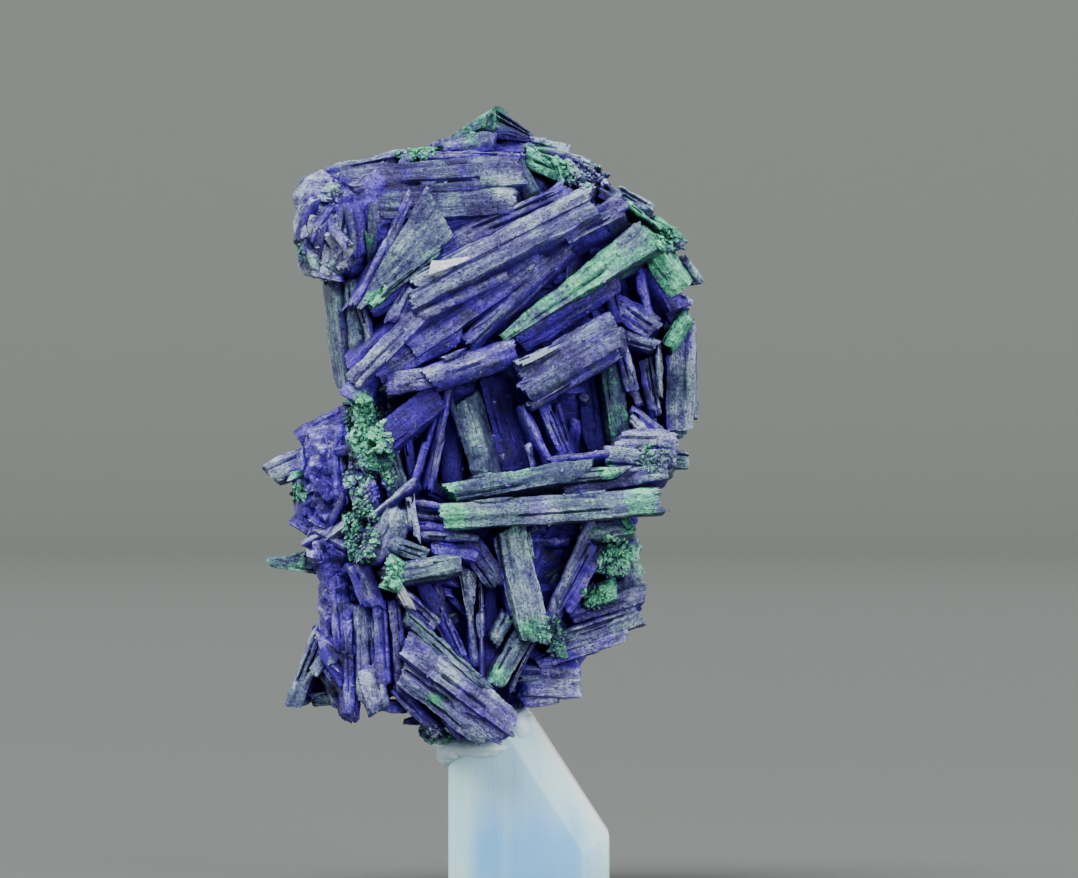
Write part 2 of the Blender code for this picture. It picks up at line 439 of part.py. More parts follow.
def add_boolean(target, operation, collection):
    """Join or cut the target with every shape of a collection."""
    modifier = target.modifiers.new(operation.lower(), "BOOLEAN")
    modifier.operation = operation
    modifier.solver = "EXACT"
    modifier.operand_type = "COLLECTION"
    modifier.collection = collection


def build_cluster():
    """The whole cluster: the mass and all its crystals as one solid."""
    blue = material("azurite", AZURITE_BLUE, 0.5)
    crystals = hidden_collection("crystals")
    for number, crystal in enumerate(all_crystals()):
        add_helper(f"crystal_{number:03d}", crystal_rings(crystal), crystals, blue)
    bm = bmesh.new()
    skin_rings(bm, scaled(mass_rings()))
    cluster = link_mesh("azurite_cluster", bm, blue)
    add_boolean(cluster, "UNION", crystals)
    keep_outer_shell(cluster)


def shells_of(bm):
    """The separate shells of a mesh, each as a list of faces."""
    left = set(bm.faces)
    shells = []
    while left:
        reach = [left.pop()]
        shell = list(reach)
        while reach:
            face = reach.pop()
            joints = [edge for edge in face.edges if len(edge.link_faces) == 2]
            near = {other for edge in joints for other in edge.link_faces} & left
            left -= near
            shell += near
            reach += near
        shells.append(shell)
    return shells


def keep_outer_shell(obj):
    """Settle an object's Booleans and fill the hollows in it. A crystal that touches no other is an error."""
    bm = bmesh.new()
    bm.from_object(obj, bpy.context.evaluated_depsgraph_get())
    bmesh.ops.triangulate(bm, faces=bm.faces)
    shells = sorted(shells_of(bm), key=len, reverse=True)
    floating = []
    for shell in shells[1:]:
        volume = sum(face.calc_area() * face.normal.dot(face.verts[0].co) for face in shell) / 3
        if volume > SPECK * MM ** 3:
            floating.append(tuple(round(c / MM, 1) for c in shell[0].calc_center_median()))
    if floating:
        raise ValueError(f"crystals float free near {floating}")
    bmesh.ops.delete(bm, geom=[face for shell in shells[1:] for face in shell], context="FACES")
    obj.modifiers.clear()
    bm.to_mesh(obj.data)
    bm.free()


def post_rings(grow=0.0):
    """The post: a square bar cut down to the right, with chamfered edges on the cut and the right side."""
    side, depth = POST_WIDTH / 2 + grow, POST_DEPTH / 2 + grow
    tip = Vector((*POST_TIP, 0)) + Vector((grow, grow, 0))
    crease = Vector((*POST_CREASE_TIP, 0)) + Vector((grow, grow, 0))
    full = (
        (-side, -grow), (side, -grow), (side, POST_SHOULDER_Z + grow), (tip.x, tip.y),
        (-side, POST_LEFT_TOP_Z + grow),
    )
    eased = (
        (-side, -grow), (side - POST_CHAMFER, -grow), (side - POST_CHAMFER, POST_SHOULDER_Z + grow),
        (crease.x, crease.y), (-side, POST_LEFT_TOP_Z - POST_CHAMFER / 3 + grow),
    )
    levels = ((-depth, eased), (-depth + POST_CHAMFER, full), (depth - POST_CHAMFER, full), (depth, eased))
    return [[Vector((x, y, z)) for x, z in profile] for y, profile in levels]


def build_post():
    """The plastic post."""
    ice = material("frosted_plastic", POST_ICE_BLUE, 0.35, 0.5)
    bm = bmesh.new()
    skin_rings(bm, scaled(post_rings()))
    link_mesh("plastic_post", bm, ice)


# The lumps of putty, as centre and half sizes.
PUTTY_LUMPS = (
    ((-1.5, -0.4, 5.6), (2.5, 3.6, 1.15)),
    ((-3.05, -1.6, 5.15), (0.75, 1.5, 0.6)),
    ((-0.55, -1.4, 6.5), (0.9, 2.1, 1.15)),
    ((-2.3, 0.6, 6.3), (1.8, 2.2, 0.9)),
)


def build_putty():
    """The pressed lump of putty between the post and the cluster."""
    white = material("putty", PUTTY_WHITE, 0.6)
    lumps = hidden_collection("putty_lumps")
    clearance = hidden_collection("putty_clearance")
    made = []
    for number, (centre, half) in enumerate(PUTTY_LUMPS):
        bm = bmesh.new()
        bmesh.ops.create_icosphere(bm, subdivisions=2, radius=1.0)
        bmesh.ops.scale(bm, vec=Vector(half) * MM, verts=bm.verts)
        bmesh.ops.translate(bm, vec=Vector(centre) * MM, verts=bm.verts)
        name = "mounting_putty" if number == 0 else f"putty_lump_{number}"
        made.append(link_mesh(name, bm, white, None if number == 0 else lumps))
    for lump in made[1:]:
        lump.hide_render = True
        lump.display_type = "WIRE"
    for number, crystal in enumerate(all_crystals()):
        if min(crystal[0].z, crystal[1].z) < 9.5:
            add_helper(f"clearance_{number:03d}", crystal_rings(crystal, PUTTY_GAP), clearance, white)
    add_helper("clearance_mass", mass_rings(PUTTY_GAP), clearance, white)
    add_helper("clearance_post", post_rings(PUTTY_GAP), clearance, white)
    add_boolean(made[0], "UNION", lumps)
    add_boolean(made[0], "DIFFERENCE", clearance)
    for polygon in made[0].data.polygons:
        polygon.use_smooth = True


def main():
    """Build the three pieces."""
    clear_scene()
    build_cluster()
    build_post()
    build_putty()


main()
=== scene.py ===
"""Looks of the azurite specimen: splintery azurite blades, malachite, mounting putty and a plastic post.

Crystals are listed in millimetres, as in the model's own source: x to the right, z up, y away from the
front. Everything else is in metres.
"""

import json
import math
import random

import bmesh
import bpy
import numpy as np
from bpy.props import FloatProperty, FloatVectorProperty, IntProperty, PointerProperty, StringProperty
from mathutils import Matrix, Vector
from mathutils.bvhtree import BVHTree

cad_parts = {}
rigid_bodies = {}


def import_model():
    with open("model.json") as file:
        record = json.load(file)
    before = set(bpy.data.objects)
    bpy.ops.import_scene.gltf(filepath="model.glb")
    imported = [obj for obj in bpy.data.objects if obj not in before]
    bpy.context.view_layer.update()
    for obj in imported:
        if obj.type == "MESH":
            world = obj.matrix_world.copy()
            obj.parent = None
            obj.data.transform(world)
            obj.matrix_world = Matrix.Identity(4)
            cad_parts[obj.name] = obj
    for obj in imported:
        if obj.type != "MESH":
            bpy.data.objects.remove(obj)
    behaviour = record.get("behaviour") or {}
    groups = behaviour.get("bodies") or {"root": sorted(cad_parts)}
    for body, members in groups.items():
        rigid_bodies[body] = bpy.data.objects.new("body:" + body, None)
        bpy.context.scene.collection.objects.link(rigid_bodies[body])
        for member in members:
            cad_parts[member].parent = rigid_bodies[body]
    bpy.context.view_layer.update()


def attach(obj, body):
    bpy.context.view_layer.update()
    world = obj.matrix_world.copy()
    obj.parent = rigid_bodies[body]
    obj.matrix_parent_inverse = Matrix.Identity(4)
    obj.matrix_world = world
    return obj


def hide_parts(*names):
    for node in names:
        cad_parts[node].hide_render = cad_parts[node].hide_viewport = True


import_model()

bl_info = {
    "name": "Azurite specimen",
    "version": (1, 0, 0),
    "blender": (4, 5, 0),
    "location": "3D View > Sidebar > Specimen",
    "description": "Builds a bladed azurite and malachite specimen on its post",
    "category": "Add Mesh",
}

MM = 0.001

# How far every crystal of the front reaches back into the mass, and how far those of the back do.
ROOT = 0.9
BACK_ROOT = 0.3

# Each look: malachite, dustiness, teal instead of violet, and a painted white reflection as off a bright
# facet, from 0 to 1.
# Only dustiness goes below 0, as painted shade in the darkest look.
LOOKS = {
    "violet": (0.04, 0.41, 0.14, 0.0),
    "periwinkle": (0.05, 0.60, 0.05, 0.0),
    "lavender": (0.06, 0.52, 0.28, 0.0),
    "grey": (0.10, 0.50, 0.50, 0.0),
    "haze": (0.05, 0.48, 0.26, 0.0),
    "dusk": (0.05, 0.30, 0.26, 0.0),
    "indigo": (0.0, 0.13, 0.03, 0.0),
    "pearl": (0.10, 0.77, 0.24, 0.0),
    # The two darkest looks below are painted shade.
    "night": (0.0, -0.16, 0.0, 0.0),
    "shade": (0.0, 0.0, 0.3, 0.0),
    "blue": (0.0, 0.42, 0.0, 0.0),
    "teal": (0.30, 0.48, 0.62, 0.0),
    "pine": (0.42, 0.32, 0.80, 0.0),
    "green": (0.72, 0.46, 0.55, 0.0),
    "emerald": (1.0, 0.54, 0.2, 0.0),
    "mint": (0.92, 0.62, 0.3, 0.0),
    "bloom": (0.82, 0.78, 0.4, 0.0),
    "speckled": (0.36, 0.59, 0.56, 0.0),
    "pale": (0.10, 0.72, 0.40, 0.0),
    # The white look is a painted reflection, as off a bright facet.
    "white": (0.0, 0.85, 0.2, 1.0),
}

# Dust of less than none is painted shade, given to crystals in deep shade.
LEAST_DUST_AS_PAINTED_SHADE = -0.25

# Every crystal of the front: both ends as (x, z), their depths y, width, thickness, roll in degrees,
# form, how much its ends slant, and its look.
UPPER_SHEAF = (
    ((-4.7, 23.6), (2.5, 27.3), (-5.5, -5.2), 1.35, 1.0, 25, "plank", 0.3, "haze"),
    ((-3.3, 25.6), (1.8, 27.8), (-4.6, -4.4), 0.95, 0.9, 10, "plank", -0.3, "dusk"),
    ((1.3, 25.9), (3.75, 27.2), (-5.1, -4.7), 0.95, 0.9, 25, "plank", 0.2, "violet"),
    ((2.2, 26.7), (3.5, 27.5), (-4.7, -4.4), 0.4, 0.5, 0, "slat", 0.1, "grey"),
    ((-2.5, 21.7), (1.5, 25.5), (-5.3, -5.0), 0.9, 0.7, 0, "roof", 0.0, "dusk"),
    ((-0.9, 22.2), (4.95, 26.2), (-5.6, -5.0), 1.5, 0.9, 18, "wedge", -0.5, "green"),
    ((-0.6, 21.8), (3.4, 24.4), (-5.0, -4.6), 1.1, 0.8, -25, "plank", 0.2, "blue"),
    ((-0.4, 20.1), (3.5, 22.3), (-5.6, -5.3), 1.5, 0.8, 20, "plank", 0.3, "dusk"),
    ((0.0, 19.3), (3.5, 21.4), (-5.4, -5.1), 0.45, 0.7, 0, "slat", 0.1, "lavender"),
    ((-7.0, 20.1), (-4.0, 23.1), (-5.0, -5.4), 0.85, 0.8, 25, "plank", 0.1, "violet"),
    ((-6.9, 20.9), (-3.9, 23.7), (-4.6, -4.8), 0.8, 0.8, -20, "plank", 0.1, "indigo"),
    ((-4.9, 21.6), (0.6, 25.4), (-5.3, -5.0), 1.2, 0.8, 5, "plank", 0.0, "dusk"),
    ((-5.9, 20.6), (-2.6, 22.5), (-4.9, -5.0), 1.0, 0.8, -15, "plank", 0.2, "violet"),
    ((-4.0, 20.4), (-0.6, 21.6), (-5.6, -5.5), 1.1, 0.8, 10, "roof", 0.2, "violet"),
    ((-5.4, 20.2), (-3.2, 20.6), (-5.0, -5.2), 0.9, 0.9, 0, "block", 0.0, "lavender"),
    ((-0.5, 21.0), (0.7, 21.5), (-5.9, -5.8), 0.35, 0.3, 0, "slat", 0.2, "pale"),
    ((-7.2, 20.1), (-6.1, 19.6), (-4.8, -4.8), 0.8, 0.8, 0, "block", 0.0, "blue"),
    ((-4.2, 22.9), (-0.9, 24.5), (-5.7, -5.6), 0.5, 0.4, 10, "slat", 0.2, "lavender"),
)
TOP_LEFT = (
    ((-7.4, 27.6), (-0.3, 28.0), (-4.0, -4.2), 2.2, 1.6, 15, "plank", 0.3, "dusk"),
    ((-3.6, 26.7), (-0.6, 27.2), (-4.0, -4.0), 1.3, 1.2, 0, "plank", 0.0, "indigo"),
    ((-6.7, 23.2), (-3.5, 27.0), (-5.3, -5.0), 2.2, 0.5, 0, "shard", 0.9, "grey"),
    ((-6.9, 23.2), (-4.75, 27.5), (-5.0, -4.7), 0.5, 0.6, -10, "plank", 0.2, "violet"),
    ((-6.1, 23.4), (-3.4, 25.6), (-5.4, -5.1), 0.45, 0.6, 10, "plank", 0.1, "pine"),
    ((-6.2, 23.3), (-5.6, 24.1), (-5.6, -5.5), 0.35, 0.3, 0, "slat", 0.0, "mint"),
    ((-2.35, 25.2), (-3.9, 24.75), (-5.95, -6.1), 0.55, 0.2, -10, "shard", 0.3, "white"),
    ((-6.3, 23.1), (-2.9, 25.3), (-5.0, -4.9), 0.7, 0.7, -10, "plank", 0.1, "indigo"),
    ((-5.3, 22.7), (-4.6, 24.0), (-5.2, -5.2), 0.75, 0.6, 0, "block", 0.2, "lavender"),
    ((-7.6, 24.3), (-7.1, 20.2), (-3.4, -3.6), 0.7, 0.9, 15, "plank", 0.1, "teal"),
    ((-7.0, 24.4), (-6.8, 21.4), (-4.1, -4.2), 0.55, 0.7, 10, "plank", 0.1, "teal"),
    ((-6.6, 23.4), (-6.2, 21.6), (-4.5, -4.5), 0.45, 0.6, 0, "slat", 0.1, "lavender"),
)
CROWN = (
    ((-3.8, 29.4), (-1.4, 29.75), (-2.6, -2.8), 0.8, 1.0, 20, "plank", 0.3, "violet"),
    ((-3.2, 29.9), (-1.1, 30.75), (-1.2, -1.4), 1.15, 1.6, 10, "wedge", 0.2, "green"),
    ((0.15, 30.0), (-1.75, 30.7), (-1.2, -1.3), 1.15, 1.8, -15, "wedge", 0.2, "pine"),
    # A dark wedge of the shade look: painted shade over a hollow of the crown.
    ((0.0, 30.0), (-1.35, 30.3), (-2.05, -2.15), 0.7, 0.3, 0, "wedge", 0.2, "shade"),
    ((-0.1, 29.7), (1.5, 29.4), (-1.3, -1.2), 0.8, 1.2, 0, "block", 0.1, "pale"),
    ((1.2, 29.15), (2.2, 28.9), (-0.9, -0.9), 0.7, 1.2, 0, "block", 0.1, "pale"),
    ((-0.1, 29.2), (1.3, 28.6), (-2.6, -2.8), 0.9, 0.9, 10, "block", 0.2, "mint"),
    ((1.0, 29.2), (1.3, 28.1), (-2.9, -3.0), 0.35, 0.6, 0, "slat", 0.1, "emerald"),
    ((-0.6, 28.9), (0.15, 27.5), (-3.2, -3.4), 0.8, 0.8, 15, "plank", 0.0, "pine"),
    ((-4.2, 29.1), (-0.5, 29.0), (-3.4, -3.2), 0.45, 1.2, 20, "plank", 0.1, "violet"),
    ((-5.1, 29.1), (-3.5, 29.35), (-3.0, -3.0), 0.6, 0.9, 15, "block", 0.3, "mint"),
    ((-7.9, 28.35), (-5.2, 28.9), (-2.6, -2.4), 0.8, 1.6, 15, "plank", 0.2, "haze"),
    ((-6.1, 29.1), (-5.0, 29.35), (-2.2, -2.2), 0.5, 1.0, 0, "block", 0.0, "haze"),
    ((1.3, 28.9), (2.0, 28.1), (-2.3, -2.6), 0.75, 0.9, 0, "block", 0.1, "teal"),
    ((2.1, 28.9), (2.95, 28.1), (-1.9, -2.2), 0.75, 0.9, 10, "block", 0.1, "teal"),
    ((2.1, 28.0), (2.6, 27.7), (-3.2, -3.3), 0.45, 0.5, 0, "block", 0.0, "teal"),
    ((2.8, 28.0), (3.7, 27.5), (-2.6, -2.8), 0.7, 1.0, 0, "block", 0.1, "teal"),
    ((3.4, 27.8), (4.9, 26.9), (-2.4, -2.6), 0.65, 1.2, 15, "plank", 0.1, "speckled"),
    ((3.8, 27.3), (5.2, 26.3), (-4.0, -4.0), 0.4, 0.9, 10, "slat", 0.1, "green"),
    ((4.8, 26.5), (5.8, 25.7), (-3.6, -3.5), 0.95, 0.9, 0, "block", 0.1, "green"),
)
RIGHT_FLANK = (
    ((4.95, 25.4), (6.05, 23.9), (-4.4, -4.2), 1.0, 0.9, -12, "plank", 0.1, "mint"),
    ((4.6, 25.0), (5.7, 23.2), (-4.0, -3.8), 0.8, 1.0, 30, "plank", 0.1, "indigo"),
    ((6.0, 25.1), (6.6, 24.2), (-3.1, -3.0), 0.7, 0.9, 0, "block", 0.1, "teal"),
    ((5.4, 22.9), (6.2, 23.3), (-3.5, -3.4), 0.8, 0.8, -15, "block", 0.1, "dusk"),
    ((5.4, 21.7), (6.25, 22.9), (-4.0, -3.8), 0.55, 0.5, 10, "plank", 0.1, "emerald"),
    ((6.0, 22.6), (5.95, 18.5), (-2.4, -2.2), 1.3, 1.2, 5, "plank", 0.1, "pale"),
    ((5.95, 22.2), (6.0, 18.9), (-0.9, -0.8), 1.15, 1.1, -10, "plank", 0.1, "haze"),
    ((3.4, 23.3), (5.0, 22.2), (-4.0, -4.0), 1.0, 0.7, 10, "plank", 0.2, "violet"),
    ((4.35, 25.0), (4.75, 22.8), (-4.1, -4.1), 0.35, 0.5, 10, "slat", 0.1, "blue"),
    ((3.2, 24.0), (3.5, 22.6), (-4.2, -4.2), 0.5, 0.6, -10, "slat", 0.1, "blue"),
    ((3.6, 22.1), (5.1, 21.7), (-4.4, -4.3), 0.6, 0.6, 10, "slat", 0.2, "lavender"),
    ((4.6, 21.3), (5.0, 18.9), (-3.0, -2.9), 0.6, 2.0, 0, "plank", 0.1, "lavender"),
    ((5.1, 21.9), (5.2, 19.7), (-4.1, -4.0), 0.3, 0.6, 0, "slat", 0.1, "lavender"),
    ((3.5, 22.1), (4.1, 19.9), (-4.6, -4.4), 0.55, 0.6, 10, "plank", 0.1, "violet"),
    ((3.1, 21.4), (3.6, 17.9), (-4.1, -3.9), 0.9, 0.9, 15, "plank", 0.1, "pine"),
    ((4.0, 20.2), (4.45, 19.3), (-4.1, -4.1), 0.35, 0.5, 0, "block", 0.0, "lavender"),
    ((4.0, 19.3), (5.3, 18.2), (-3.9, -3.8), 0.45, 0.7, 0, "slat", 0.1, "violet"),
    ((4.0, 18.9), (4.5, 18.4), (-4.4, -4.4), 0.4, 0.5, 0, "block", 0.0, "pale"),
    # The darkest look on the next blade is painted shade.
    ((2.3, 20.6), (2.7, 17.6), (-3.1, -3.2), 0.9, 0.6, -15, "plank", 0.1, "night"),
    ((3.4, 17.9), (5.55, 17.8), (-4.6, -4.2), 1.0, 1.0, 15, "block", 0.1, "lavender"),
    ((2.9, 17.3), (5.6, 17.1), (-4.9, -4.6), 0.9, 1.0, 5, "plank", 0.1, "grey"),
    ((5.3, 17.3), (6.3, 17.2), (-3.6, -3.5), 0.65, 0.8, 0, "block", 0.1, "teal"),
)
# Blades of the darkest look here are painted shade in the hollow.
CAVITY = (
    ((-2.65, 19.6), (-1.65, 16.4), (-4.6, -4.6), 0.85, 0.7, -20, "plank", 0.2, "teal"),
    ((-3.2, 20.0), (-3.95, 16.0), (-4.8, -4.9), 0.35, 0.7, 15, "slat", 0.1, "blue"),
    ((-3.45, 19.7), (-4.5, 16.3), (-4.5, -4.6), 0.3, 0.6, 10, "slat", 0.1, "violet"),
    ((-3.0, 19.4), (-3.1, 16.2), (-3.8, -3.8), 0.9, 0.4, -15, "slat", 0.1, "night"),
    ((-6.0, 17.8), (-3.6, 19.7), (-5.2, -5.0), 1.2, 0.7, 8, "plank", 0.2, "night"),
    ((-4.9, 18.2), (-4.6, 16.3), (-4.2, -4.3), 0.35, 0.6, 0, "slat", 0.1, "blue"),
    ((-0.3, 19.4), (0.85, 16.8), (-4.6, -4.7), 0.35, 0.7, 15, "slat", 0.1, "blue"),
    ((0.4, 19.6), (1.5, 17.1), (-4.4, -4.5), 0.55, 0.7, 20, "plank", 0.1, "violet"),
    ((-0.05, 17.8), (0.2, 16.8), (-5.1, -5.2), 0.28, 0.4, 0, "slat", 0.1, "lavender"),
    ((1.1, 19.4), (1.7, 17.3), (-4.1, -4.1), 0.3, 0.6, 0, "slat", 0.1, "blue"),
    ((-1.5, 20.6), (-0.5, 16.6), (-3.4, -3.6), 1.2, 0.6, 12, "plank", 0.1, "night"),
    ((0.8, 17.15), (3.1, 17.4), (-5.2, -5.1), 0.35, 0.8, 15, "slat", 0.1, "violet"),
)
CROSS_BEAMS = (
    ((-3.1, 15.85), (2.3, 16.8), (-6.0, -5.7), 0.85, 1.0, 15, "plank", 0.2, "pine"),
    ((0.2, 16.35), (3.7, 16.7), (-5.9, -5.6), 0.5, 0.8, 10, "plank", 0.3, "teal"),
    ((1.2, 16.0), (5.35, 16.7), (-5.3, -5.0), 0.8, 0.8, 15, "plank", 0.2, "lavender"),
    ((-3.2, 15.0), (4.9, 15.55), (-6.2, -5.8), 1.05, 1.0, 5, "plank", 0.1, "teal"),
    ((-1.0, 15.35), (5.0, 15.95), (-6.0, -5.7), 0.35, 0.8, 0, "slat", 0.1, "teal"),
)
LEFT_FLANK = (
    ((-9.0, 18.0), (-6.6, 19.2), (-0.9, -1.5), 0.95, 0.9, 15, "plank", 0.2, "violet"),
    ((-10.4, 16.6), (-7.2, 18.0), (-1.3, -1.9), 0.95, 0.9, 10, "plank", 0.3, "lavender"),
    ((-6.6, 19.5), (-6.3, 18.0), (-4.3, -4.3), 0.8, 1.2, 0, "block", 0.1, "mint"),
    ((-6.8, 18.3), (-6.1, 16.5), (-4.2, -4.4), 1.0, 1.4, 10, "block", 0.1, "green"),
    ((-6.7, 16.8), (-6.2, 14.9), (-4.2, -4.3), 1.1, 1.4, -10, "block", 0.1, "teal"),
    ((-7.0, 15.2), (-6.7, 13.2), (-3.9, -4.0), 0.9, 1.4, 0, "block", 0.1, "green"),
    ((-5.7, 17.6), (-5.1, 15.8), (-4.4, -4.4), 1.0, 1.0, 0, "block", 0.1, "teal"),
    ((-6.8, 13.2), (-6.1, 11.4), (-4.2, -4.4), 0.9, 1.2, 0, "block", 0.1, "violet"),
    ((-8.9, 17.6), (-8.6, 15.0), (-1.9, -2.2), 0.8, 1.2, 15, "block", 0.1, "blue"),
    ((-8.8, 15.9), (-7.7, 13.6), (-2.2, -2.6), 0.8, 1.2, 10, "block", 0.1, "blue"),
    ((-9.25, 14.8), (-8.0, 14.2), (-1.8, -2.2), 0.6, 1.0, 0, "block", 0.1, "violet"),
    ((-7.7, 18.0), (-7.4, 15.4), (-2.9, -3.1), 0.7, 1.2, 0, "plank", 0.1, "blue"),
    ((-10.35, 13.1), (-7.9, 13.2), (-1.2, -1.8), 1.15, 0.9, 0, "wedge", 0.1, "green"),
    ((-8.4, 14.2), (-7.3, 11.0), (-2.9, -3.1), 0.7, 0.9, 10, "plank", 0.1, "blue"),
    ((-7.6, 12.8), (-7.35, 9.3), (-3.1, -3.2), 0.65, 0.9, 10, "plank", 0.1, "blue"),
    ((-9.35, 7.5), (-7.75, 11.3), (-1.7, -2.1), 0.75, 0.9, 10, "plank", 0.2, "grey"),
    ((-8.1, 11.9), (-7.8, 9.9), (-2.4, -2.4), 0.5, 0.8, 0, "plank", 0.1, "blue"),
    ((-8.6, 7.65), (-5.2, 8.1), (-1.4, -1.6), 0.55, 0.9, 0, "block", 0.1, "teal"),
    ((-7.15, 10.9), (-7.05, 7.0), (-3.4, -3.4), 0.6, 0.9, 15, "plank", 0.1, "blue"),
    ((-6.55, 11.3), (-6.4, 7.6), (-4.0, -4.0), 0.75, 0.8, 5, "plank", 0.1, "lavender"),
    ((-5.9, 11.7), (-5.7, 8.2), (-4.4, -4.3), 0.6, 0.8, -5, "plank", 0.1, "violet"),
    ((-5.35, 11.8), (-5.0, 8.2), (-4.6, -4.6), 0.55, 0.8, 5, "plank", 0.1, "violet"),
    ((-6.3, 8.9), (-5.9, 7.3), (-4.2, -4.2), 1.0, 0.8, 0, "block", 0.1, "lavender"),
    ((-5.9, 7.5), (-4.9, 7.4), (-3.6, -3.6), 0.5, 0.8, 0, "block", 0.1, "violet"),
)
LEFT_CENTRE = (
    ((-6.1, 13.1), (-5.2, 15.3), (-5.4, -5.4), 1.25, 0.9, -15, "block", 0.1, "grey"),
    ((-6.2, 14.9), (-4.4, 16.4), (-5.6, -5.4), 0.35, 0.7, 15, "slat", 0.1, "lavender"),
    ((-4.75, 15.75), (-4.6, 14.6), (-5.7, -5.7), 0.32, 0.5, 0, "slat", 0.0, "pale"),
    ((-4.5, 15.4), (-3.2, 15.2), (-5.2, -5.2), 0.4, 0.8, 15, "slat", 0.1, "violet"),
    ((-4.6, 15.0), (-3.1, 14.8), (-5.0, -5.1), 0.4, 0.8, 10, "slat", 0.1, "lavender"),
    ((-5.0, 14.6), (-2.9, 14.4), (-5.4, -5.4), 0.4, 0.8, 15, "slat", 0.1, "violet"),
    ((-4.3, 14.2), (-2.0, 14.1), (-5.5, -5.4), 0.4, 0.8, 10, "slat", 0.1, "lavender"),
    ((-5.5, 13.9), (-4.0, 13.4), (-5.7, -5.7), 0.65, 0.5, 10, "plank", 0.1, "teal"),
    ((-3.9, 13.75), (-2.1, 13.45), (-5.5, -5.5), 0.5, 0.6, 15, "plank", 0.1, "violet"),
    ((-5.7, 12.6), (-2.8, 13.15), (-5.8, -5.6), 0.85, 0.7, 10, "plank", 0.2, "teal"),
    ((-5.75, 12.4), (-5.1, 12.2), (-6.0, -6.0), 0.5, 0.5, 0, "block", 0.0, "mint"),
    ((-5.5, 13.3), (-4.9, 12.9), (-6.0, -6.0), 0.45, 0.4, 0, "block", 0.0, "mint"),
    ((-2.4, 14.0), (-1.2, 12.3), (-5.2, -5.0), 0.9, 0.8, 0, "block", 0.1, "dusk"),
)
LOWER_FAN = (
    ((-2.3, 10.7), (-2.4, 12.95), (-4.7, -4.9), 0.8, 0.8, 0, "wedge", 0.1, "pale"),
    ((-2.35, 11.2), (-2.15, 9.0), (-4.5, -4.5), 0.42, 0.6, 0, "slat", 0.1, "lavender"),
    ((-1.9, 12.8), (-1.85, 8.4), (-4.6, -4.4), 0.25, 0.8, 0, "slat", 0.1, "lavender"),
    ((-1.5, 12.5), (-1.65, 8.9), (-4.1, -4.1), 0.6, 0.5, 10, "slat", 0.1, "indigo"),
    ((-4.2, 12.3), (-2.6, 9.2), (-4.5, -4.5), 0.6, 0.6, 0, "plank", 0.1, "indigo"),
    ((-3.7, 12.5), (-3.2, 10.2), (-4.4, -4.4), 0.4, 0.6, 10, "slat", 0.1, "violet"),
    ((-3.3, 10.9), (-2.6, 9.4), (-4.7, -4.7), 0.45, 0.5, 0, "plank", 0.1, "violet"),
    ((-4.9, 11.05), (-1.7, 8.1), (-5.2, -5.0), 0.55, 0.7, 15, "plank", 0.1, "teal"),
    ((-5.1, 12.0), (-3.6, 10.6), (-4.9, -4.9), 0.6, 0.6, 0, "plank", 0.1, "violet"),
    ((-5.0, 11.95), (-4.75, 11.45), (-5.4, -5.4), 0.32, 0.35, 0, "block", 0.0, "white"),
    ((-4.8, 9.9), (-0.7, 6.8), (-5.3, -4.9), 1.15, 0.9, 15, "plank", 0.1, "violet"),
    ((-5.0, 8.9), (-1.5, 6.2), (-5.0, -4.8), 1.0, 0.9, -8, "plank", 0.1, "lavender"),
    ((-3.0, 7.6), (-1.0, 6.5), (-4.9, -4.8), 1.1, 0.9, 0, "block", 0.1, "lavender"),
    ((-5.2, 9.5), (-2.7, 6.2), (-4.6, -4.4), 0.4, 0.6, 0, "slat", 0.1, "violet"),
    ((-5.4, 8.3), (-3.6, 6.5), (-4.2, -4.0), 0.6, 0.6, 0, "plank", 0.1, "violet"),
    ((-4.9, 6.8), (-3.4, 7.0), (-3.4, -3.3), 0.6, 0.6, 0, "wedge", 0.1, "lavender"),
    ((-4.15, 6.4), (-3.3, 6.1), (-2.7, -2.6), 0.55, 0.7, 0, "block", 0.1, "mint"),
    ((-0.75, 14.6), (0.25, 10.15), (-5.4, -5.3), 1.25, 0.9, 10, "plank", 0.1, "speckled"),
    ((-1.3, 14.3), (-0.45, 10.9), (-5.0, -5.0), 0.5, 0.7, 15, "plank", 0.1, "lavender"),
    ((-0.2, 10.4), (-1.35, 8.4), (-4.7, -4.8), 0.85, 0.6, 10, "plank", 0.1, "teal"),
    ((0.2, 10.0), (-0.75, 8.15), (-4.4, -4.4), 0.22, 0.5, 0, "slat", 0.1, "lavender"),
    ((-0.8, 11.2), (-1.4, 10.0), (-4.9, -4.9), 0.5, 0.5, 15, "block", 0.1, "teal"),
    ((2.45, 14.8), (0.75, 10.9), (-5.0, -4.8), 0.45, 0.6, -15, "slat", 0.1, "lavender"),
    ((2.45, 13.8), (1.0, 11.1), (-4.8, -4.6), 0.3, 0.6, -10, "slat", 0.1, "blue"),
    ((2.5, 13.3), (1.4, 11.3), (-4.3, -4.3), 0.7, 0.5, 0, "slat", 0.1, "blue"),
    ((0.0, 14.5), (2.0, 14.6), (-3.9, -3.9), 0.8, 0.6, -10, "slat", 0.1, "indigo"),
    ((-0.1, 13.95), (1.6, 13.95), (-4.0, -4.0), 0.3, 0.6, 15, "slat", 0.1, "violet"),
    ((2.2, 14.5), (4.1, 14.7), (-4.6, -4.4), 1.05, 1.0, 10, "block", 0.1, "teal"),
    ((2.4, 13.3), (4.0, 13.2), (-3.4, -3.2), 1.4, 1.2, 10, "block", 0.1, "green"),
    ((3.75, 14.95), (4.1, 14.4), (-4.8, -4.8), 0.4, 0.5, 0, "block", 0.0, "mint"),
    ((0.8, 10.9), (1.25, 9.4), (-4.3, -4.3), 0.65, 0.6, 0, "block", 0.1, "green"),
)
